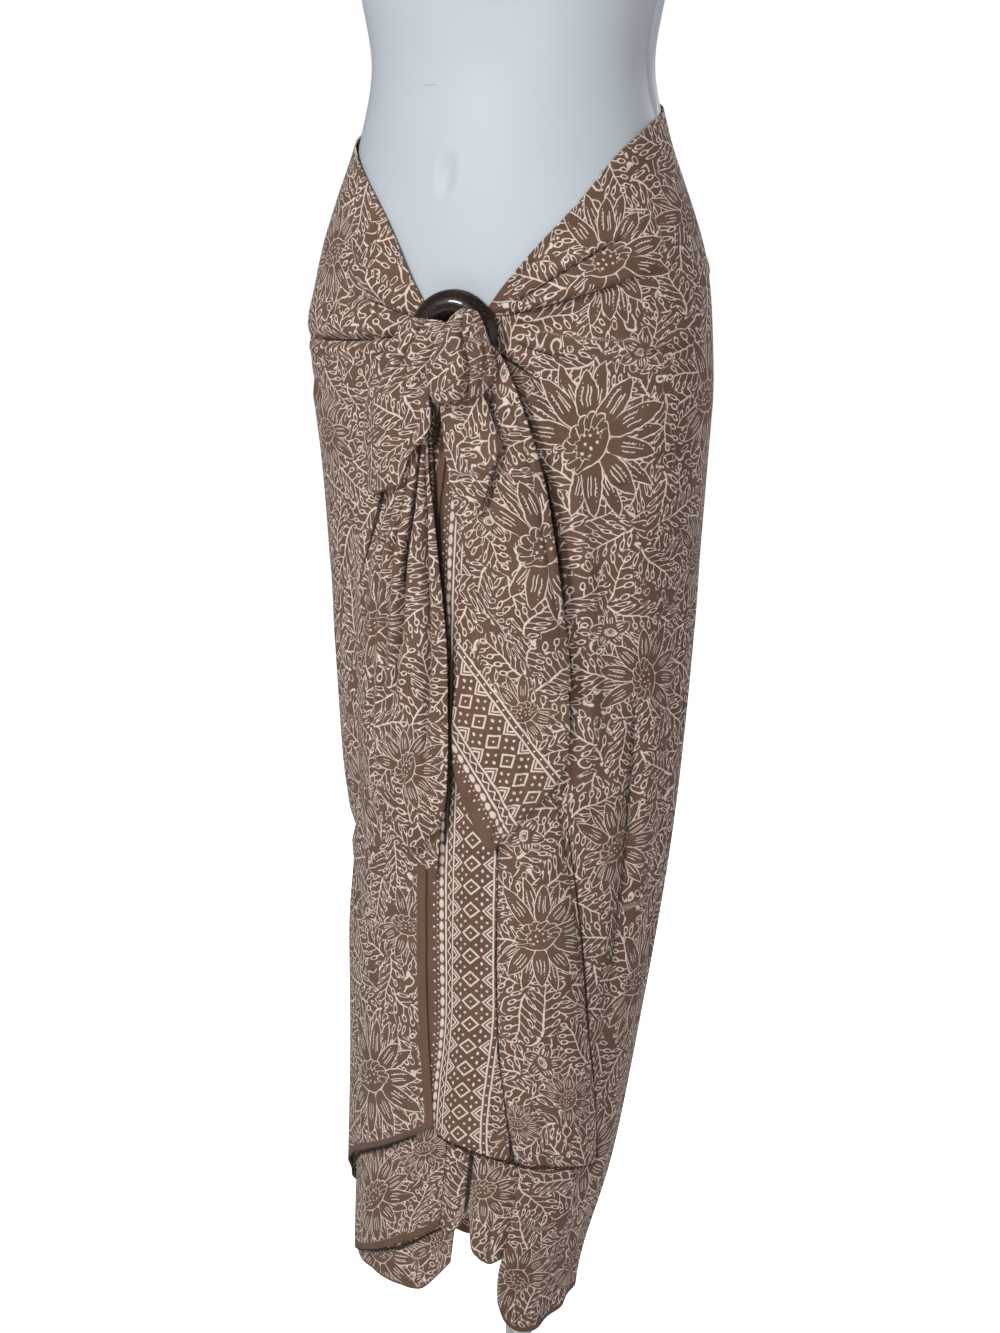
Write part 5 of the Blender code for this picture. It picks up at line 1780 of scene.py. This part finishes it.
@dataclass
class Tails:
    """The two corners that come out of the ring, each folded over itself."""

    dressing: Dressing
    flap: Strip = Strip(
        "left_flap", "tail_left_flap", FLAP_STRIP, size=(120, 90),
        folds=(
            (0.5, 0.02, 0.26, 0.06, 0.38, 0.22, 0.09, 0.02, 0.0085),
            (0.24, 0.02, 0.22, 0.15, 0.5, 0.3, 0.05, 0.07, 0.003),
            (0.66, 0.05, 0.34, 0.15, 0.6, 0.3, 0.05, 0.06, 0.0022),
            (0.86, 0.02, 0.26, 0.15, 0.8, 0.2, 0.04, 0.05, 0.0026),
        ),
        shift=(0.95, 0.72), hem_margin=0.001, held="gathered",
        rests_on=("coconut_ring", "left_front"),
    )
    left: Strip = Strip(
        "left_tail", "tail_left", TAIL_LEFT_STRIP, size=(150, 110),
        folds=(
            (0.76, -0.4, 0, 0.1, 0.44, 0.25, 0.022, 0.055, 0.0125),
            (0.9, -0.12, 0, 0.12, 0.5, 0.35, 0.022, 0.05, 0.008),
            (0.46, -0.1, 0.02, 0.15, 0.45, 0.35, 0.03, 0.07, 0.006),
            (0.22, 0.08, 0.12, 0.2, 0.55, 0.35, 0.03, 0.07, 0.0036),
            (0.6, 0, 0.55, 0.2, 0.85, 0.15, 0.03, 0.06, 0.0026),
        ),
        shift=(1.25, 0.85),
        blooms=sunflowers((-26, 0.752, 0.052, 10, 0.85), (-10, 0.64, 0.04, 60)),
        held="gathered", rests_on=("left_flap", "left_front"),
        # Painted shade along the trough bottoms
        lines=(
            (0.76, -0.4, 0, 0.05, 0.41, 0.05, 0.0027, 1),
            (0.9, -0.12, 0, 0.06, 0.24, 0.1, 0.0016, 0.8),
            (0.46, -0.1, 0.04, 0.1, 0.22, 0.1, 0.0007, 0.6),
        ),
    )
    left_corner: Strip = Strip(
        "left_corner", "tail_left_corner", TAIL_LEFT_CORNER_STRIP, size=(70, 90),
        folds=((0.45, 0.2, 0.4, 0.3, 2, 1, 0.04, 0.06, 0.0004),),
        shift=(1.45, 0.85), hem_margin=0.007, held="hung", rests_on=("left_tail", "left_front"),
    )
    knot: Strip = Strip(
        "right_knot", "tail_right_knot", KNOT_STRIP, size=(120, 100),
        folds=(
            (0.25, 0.5, 0.3, 0.12, 2, 1, 0.085, 0.026, 0.01),
            (0.25, 0.5, 0.3, 0.12, 2, 1, 0.018, 0.014, 0.004),
            (1.1, -0.8, 0.32, 0.08, 0.55, 0.12, 0.03, 0.03, 0.006),
            (0.2, 0.05, 0.45, 0.2, 0.85, 0.15, 0.06, 0.08, 0.0026),
            (0.9, -0.04, 0.4, 0.2, 0.85, 0.15, 0.03, 0.04, 0.0022),
        ),
        shift=(0.70, 0.25), hem_margin=0.0010,
        blooms=sunflowers((18.2, 0.968, 0.044, 200)), held="gathered", rests_on=("coconut_ring",),
    )
    right: Strip = Strip(
        "right_tail", "tail_right", TAIL_RIGHT_STRIP, size=(150, 110),
        folds=(
            (0.6, 0.2, 0.02, 0.08, 0.27, 0.08, 0.016, 0.13, 0.0105),
            (1.22, -1.87, 0.26, 0.07, 0.44, 0.1, 0.016, 0.13, 0.0105),
            (0.9, 0, 0.12, 0.15, 0.6, 0.3, 0.03, 0.04, 0.0022),
            (0.34, -0.2, 0.1, 0.15, 0.4, 0.25, 0.04, 0.06, 0.0026),
        ),
        shift=(0.8, 0.55), blooms=sunflowers((36.8, 0.827, 0.064, 30)),
        held="gathered", rests_on=("right_knot", "right_front"),
        # Painted shade along the trough bottoms
        lines=(
            (0.6, 0.2, 0.02, 0.06, 0.2, 0.12, 0.0026, 0.55),
            (1.21, -1.87, 0.28, 0.06, 0.38, 0.12, 0.002, 0.45),
        ),
    )
    right_corner: Strip = Strip(
        "right_corner", "tail_right_corner", TAIL_RIGHT_CORNER_STRIP, size=(120, 100),
        folds=(
            (0.4, 0.1, 0.2, 0.3, 0.8, 0.2, 0.05, 0.07, 0.0022),
            (0.7, -0.1, 0.15, 0.3, 0.8, 0.2, 0.04, 0.06, 0.0018),
        ),
        shift=(0.6, 0.3), blooms=sunflowers((29.9, 0.6887, 0.034, 200)),
        rests_on=("right_tail", "right_front"),
        short_edge=(19.5, 0.5735, -52.7),
    )

    def make(self) -> list[Piece]:
        """All six stretches."""
        left = self.flap, self.left, self.left_corner
        return hang_strips(self.dressing, *left, self.knot, self.right, self.right_corner)


def hang_strips(dressing: Dressing, *strips: Strip) -> list[Piece]:
    """Makes the piece of each strip."""
    return [
        dressing.hang(strip.name, strip.node, strip.grid(), strip.blooms, strip.held, strip.rests_on)
        for strip in strips
    ]


def turned_surface(profile: Array, steps: int, centre_x: float = 0.0) -> tuple[Array, Array]:
    """A closed profile turned about an upright axis, (r cos t, r sin t, z).

    Args:
        profile: Radius and height of each point, in order round the closed profile.
        steps: Steps round the axis.
        centre_x: Where the axis stands.

    Returns:
        Places and quads.
    """
    turn = np.linspace(0, 2 * math.pi, steps, endpoint=False)[:, None]
    radius, level = profile[None, :, 0], profile[None, :, 1]
    x, y = radius * np.cos(turn), radius * np.sin(turn)
    points = side_by_side(centre_x + x, y, level + 0 * turn)
    return points.reshape(-1, 3), index_faces(steps, len(profile), True, True)


def disc_profile(radius: float, bottom: float, top: float, bevel: float, arc: int = 6) -> Array:
    """The half outline of a round upright piece with rounded edges, from its axis and back."""
    turn = np.linspace(0, math.pi / 2, arc)
    side, rise, run = radius - bevel, bevel * np.sin(turn), bevel * np.cos(turn)
    lower = side_by_side(side + rise, bottom + bevel - run)
    upper = side_by_side(side + run, top - bevel + rise)
    inner = np.linspace(0.0, side, 9)[1:-1]
    floor = side_by_side(inner, bottom + 0 * inner)
    cover = side_by_side(inner[::-1], top + 0 * inner)
    return np.vstack([floor, lower, upper, cover])


def dress_hard(piece: Piece, node: str) -> Piece:
    """Puts a hard piece on the body in place of its solid."""
    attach(piece, "root")
    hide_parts(node)
    log.info("%s: %d faces", piece.name, len(piece.data.polygons))
    return piece


def close_holes(mesh: Mesh) -> None:
    """Closes the small openings left at the poles of a turned piece."""
    work = bmesh.new()
    work.from_mesh(mesh)
    bmesh.ops.holes_fill(work, edges=[edge for edge in work.edges if edge.is_boundary], sides=0)
    bmesh.ops.recalc_face_normals(work, faces=work.faces)
    work.to_mesh(mesh)
    work.free()
    mesh.shade_smooth()


def make_round(
    name: str, node: str, finish: Finish, outline: Sequence[float], steps: int = 128,
    centre_x: float = 0.0,
) -> Piece:
    """A round upright metal piece with rounded edges, in place of its solid.

    Args:
        name: Name of the piece.
        node: The solid that it stands for.
        finish: Its material.
        outline: Radius, bottom, top and rounding of its edges.
        steps: Steps round the axis.
        centre_x: Where the axis stands.

    Returns:
        The piece.
    """
    points, faces = turned_surface(disc_profile(*outline), steps, centre_x)
    mesh = make_mesh(name, points, faces)
    close_holes(mesh)
    return dress_hard(show(name, mesh, finish), node)


@dataclass
class ShellRing:
    """The domed coconut shell ring, facing the front."""

    finish: Finish
    outer: float = 0.038
    hole: float = 0.0135
    rim: float = 0.0035
    dome: float = 0.0075
    angle: float = 5.0
    height: float = 0.989
    standoff: float = 0.0100
    tilt: float = 3.0
    around: int = 128
    across: int = 64

    def profile(self) -> Array:
        """Closed section: the mean curve plus and minus half the thickness times |sin t|^0.4."""
        turn = np.linspace(0, 2 * math.pi, self.across, endpoint=False)
        share = 0.5 - 0.5 * np.cos(turn)
        front = self.rim + self.dome * np.sin(math.pi * share) ** 0.8
        back = 0.45 * self.dome * np.sin(math.pi * share)
        middle, half = (front + back) / 2, (front - back) / 2
        level = middle - half * np.sign(np.sin(turn)) * np.abs(np.sin(turn)) ** 0.4
        return side_by_side(self.hole + (self.outer - self.hole) * share, level)

    def make(self) -> Piece:
        """The ring, tilted a little and set off the drape."""
        points, faces = turned_surface(self.profile(), self.around)
        where = BODY.place(np.array(self.angle), np.array(self.height), self.standoff)
        facing = Matrix.Rotation(math.radians(self.angle), 3, "Z")
        turn = facing @ Matrix.Rotation(math.radians(90 - self.tilt), 3, "X")
        points = points @ np.array(turn).T + where
        piece = show("coconut_ring", make_mesh("coconut_ring", points, faces), self.finish)
        return dress_hard(piece, "shell_ring")


@dataclass
class DisplayForm:
    """The limbless torso, lofted from the hip to the neck, and the cover of its neck."""

    plastic: Finish
    metal: Finish
    around: int = 240
    navel: tuple[float, float, float, float, float] = (-4.8, 1.1175, 5.0, 0.0165, 0.0034)
    flange_rise: float = 0.0022
    flange_width: float = 0.85
    cap_radius: float = 0.0475
    cap_height: float = 0.012
    cap_bevel: float = 0.004
    gap: float = 0.0003

    def radius(self, angle: Array, height: Array) -> Array:
        """The form's oval, with a soft bust and a thin moulded ridge down each side."""
        radius = BODY.form_radius(angle, height)
        for side in (-BODY.bust_angle, BODY.bust_angle):
            swell = hump(turn_from(angle, side), 23) * hump(height - BODY.bust_height, 0.070)
            radius = radius + BODY.bust_rise * swell
        angle_at, level, half_width, half_height, depth = self.navel
        away = np.hypot(turn_from(angle, angle_at) / half_width, (height - level) / half_height)
        radius = radius + depth * (0.30 * hump(away - 1.25, 0.40) - hump(away, 0.85))
        above = ramp((height - 1.150) / 0.03)
        for side in (-90.0, 90.0):
            flange = hump(turn_from(angle, side), self.flange_width)
            radius = radius + self.flange_rise * above * flange
        return radius

    def make_torso(self) -> Piece:
        """The torso, closed at the hip and at the neck by rings that run in to a point."""
        levels = np.concatenate(
            [(0.850, 0.852, 0.855, 0.860, 0.866, 0.873, 0.882), np.linspace(0.892, 1.52, 110),
             np.linspace(1.528, 1.670, 26)]
        )
        spread = np.linspace(0, 2 * math.pi, self.around, endpoint=False)
        angle = np.degrees(spread - 0.42 * np.sin(2 * spread + math.pi) / 2)[None, :]
        height = levels[:, None] + 0 * angle
        radius = self.radius(angle + 0 * height, height)
        turn = np.radians(angle)
        x, y = BODY.axis_x + radius * np.sin(turn), -radius * np.cos(turn)
        wall = side_by_side(x, y, height + BODY.datum)
        shares = (0.97, 0.7, 0.35, 0.02)
        axis = np.array([BODY.axis_x, 0.0, 0.0])

        def lid(row: Array, share: float) -> Array:
            """A ring of the lid, drawn in towards the axis at the wall's height."""
            ring = axis + (row - axis) * share
            ring[..., 2] = row[..., 2]
            return ring

        below = np.stack([lid(wall[0], share) for share in shares[::-1]])
        above = np.stack([lid(wall[-1], share) for share in shares])
        points = np.concatenate([below, wall, above])
        # These rows run up, so the corners go the other way round from the first one.
        faces = index_faces(*points.shape[:2], round_columns=True)[:, [0, 3, 2, 1]]
        mesh = make_mesh("torso", points.reshape(-1, 3), faces)
        close_holes(mesh)
        mesh.set_sharp_from_angle(angle=math.radians(50))
        return dress_hard(show("torso", mesh, self.plastic), "form_torso")

    def make_cover(self) -> Piece:
        """The round cover on the neck."""
        bottom = FORM_ROWS[-1][0] + BODY.datum + self.gap
        outline = self.cap_radius, bottom, bottom + self.cap_height, self.cap_bevel
        return make_round("neck_cover", "neck_cap", self.metal, outline, 96, BODY.axis_x)

    def make(self) -> list[Piece]:
        """Torso and cover."""
        return [self.make_torso(), self.make_cover()]


@dataclass
class Stand:
    """A flat round base, a collar, a pole and the plate that carries the form."""

    finish: Finish
    base_radius: float = 0.140
    base_thick: float = 0.012
    collar_radius: float = 0.024
    collar_height: float = 0.030
    pole_radius: float = 0.0120
    plate_radius: float = 0.048
    plate_thick: float = 0.006
    gap: float = 0.0003

    def make(self) -> list[Piece]:
        """The four pieces from the floor up."""
        collar_bottom = self.base_thick + self.gap
        collar_top = collar_bottom + self.collar_height
        plate_top = FORM_ROWS[0][0] + BODY.datum - self.gap
        plate_bottom = plate_top - self.plate_thick
        pole_bottom, pole_top = collar_top + self.gap, plate_bottom - self.gap
        rows = (
            ("base_disc", "stand_base", self.base_radius, 0.0, self.base_thick, 0.003),
            ("base_collar", "stand_collar", self.collar_radius, collar_bottom, collar_top, 0.002),
            ("upright_pole", "stand_pole", self.pole_radius, pole_bottom, pole_top, 0.0008),
            ("carrier_plate", "stand_plate", self.plate_radius, plate_bottom, plate_top, 0.001),
        )
        return [make_round(name, node, self.finish, outline) for name, node, *outline in rows]


@dataclass
class Studio:
    """Camera, lights, backdrop and floor."""

    azimuth: float = 27.0
    elevation: float = 11.0
    distance: float = 1.95
    focal_pixels: float = 2240.0
    image_height: float = 1333.0
    aim_right: float = -0.010
    aim: Triple = (-0.008, 0.0, 0.740)
    lit: Triple = (0.0, 0.0, 0.75)
    sky_light: float = 0.12
    lamps: tuple[tuple[str, Triple, float, float], ...] = (
        ("key", (-0.65, -2.4, 2.6), 0.6, 52.0),
        ("front", (0.9, -2.5, 1.1), 0.5, 20.0),
        ("left", (-2.6, -1.2, 1.6), 1.6, 1.0),
        ("right", (2.6, -0.6, 1.6), 1.6, 5.5),
        ("back", (0.9, 2.6, 2.4), 1.0, 50.0),
    )

    def make_camera(self) -> None:
        """The camera at the photograph's angle."""
        turn, rise = math.radians(self.azimuth), math.radians(self.elevation)
        level = math.cos(rise)
        forward = Vector((-math.sin(turn) * level, math.cos(turn) * level, -math.sin(rise)))
        right = Vector((math.cos(turn), math.sin(turn), 0.0))
        up = right.cross(forward)
        where = right * self.aim_right + Vector(self.aim) - forward * self.distance
        data = bpy.data.cameras.new("camera")
        data.sensor_width = 36.0
        data.lens = 36.0 * self.focal_pixels / self.image_height
        camera = bpy.data.objects.new("camera", data)
        bpy.context.scene.collection.objects.link(camera)
        basis = Matrix((right, up, -forward)).transposed().to_4x4()
        camera.matrix_world = Matrix.Translation(where) @ basis
        bpy.context.scene.camera = camera

    def make_lamp(self, name: str, place: Sequence[float], size: float, power: float) -> None:
        """A square soft lamp aimed at the middle of the cloth."""
        data = bpy.data.lights.new(name, "AREA")
        data.size = size
        data.energy = power
        lamp = bpy.data.objects.new(name, data)
        lamp.location = place
        toward = Vector(self.lit) - Vector(place)
        lamp.rotation_euler = toward.to_track_quat("-Z", "Y").to_euler()
        bpy.context.scene.collection.objects.link(lamp)

    def make_world(self) -> None:
        """A white backdrop that lights the scene more softly than it looks."""
        world = bpy.data.worlds.new("studio")
        world.use_nodes = True
        net = Net(world.node_tree)
        level = net.add("ShaderNodeMapRange")
        seen = net.place("ShaderNodeLightPath")
        net.fill(level, {"Value": seen, "To Min": self.sky_light, "To Max": 1.0})
        back = world.node_tree.nodes["Background"]
        net.fill(back, {"Color": (1.0, 1.0, 1.0), "Strength": Wire(net, level.outputs[0])})
        bpy.context.scene.world = world

    def make_floor(self, finish: Finish) -> None:
        """A wide plain floor."""
        side = np.linspace(-9.0, 9.0, 9)
        x, y = np.meshgrid(side, side)
        points = side_by_side(x, y, 0 * x)[::-1]
        floor = show("floor", make_mesh("floor", points.reshape(-1, 3), index_faces(9, 9)), finish)

    def make(self, finish: Finish) -> None:
        """Everything round the object."""
        self.make_camera()
        for name, place, size, power in self.lamps:
            self.make_lamp(f"{name}_light", place, size, power)
        self.make_world()
        self.make_floor(finish)
        bpy.context.scene.view_settings.view_transform = "Standard"


def main() -> None:
    """Builds every piece in order and reports it."""
    logging.basicConfig(level=logging.INFO, format="%(name)s %(message)s")
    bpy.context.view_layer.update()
    plastic, shell, metal = FormPlastic().make(), CoconutShell().make(), StandMetal().make()
    dressing = Dressing(BatikCloth().make(Motifs()))
    DisplayForm(plastic, metal).make()
    Stand(metal).make()
    ShellRing(shell).make()
    Wrap(dressing).make()
    FrontLayers(dressing).make()
    Tails(dressing).make()
    Studio().make(StudioWhite().make())


if __name__ == "__main__":
    main()
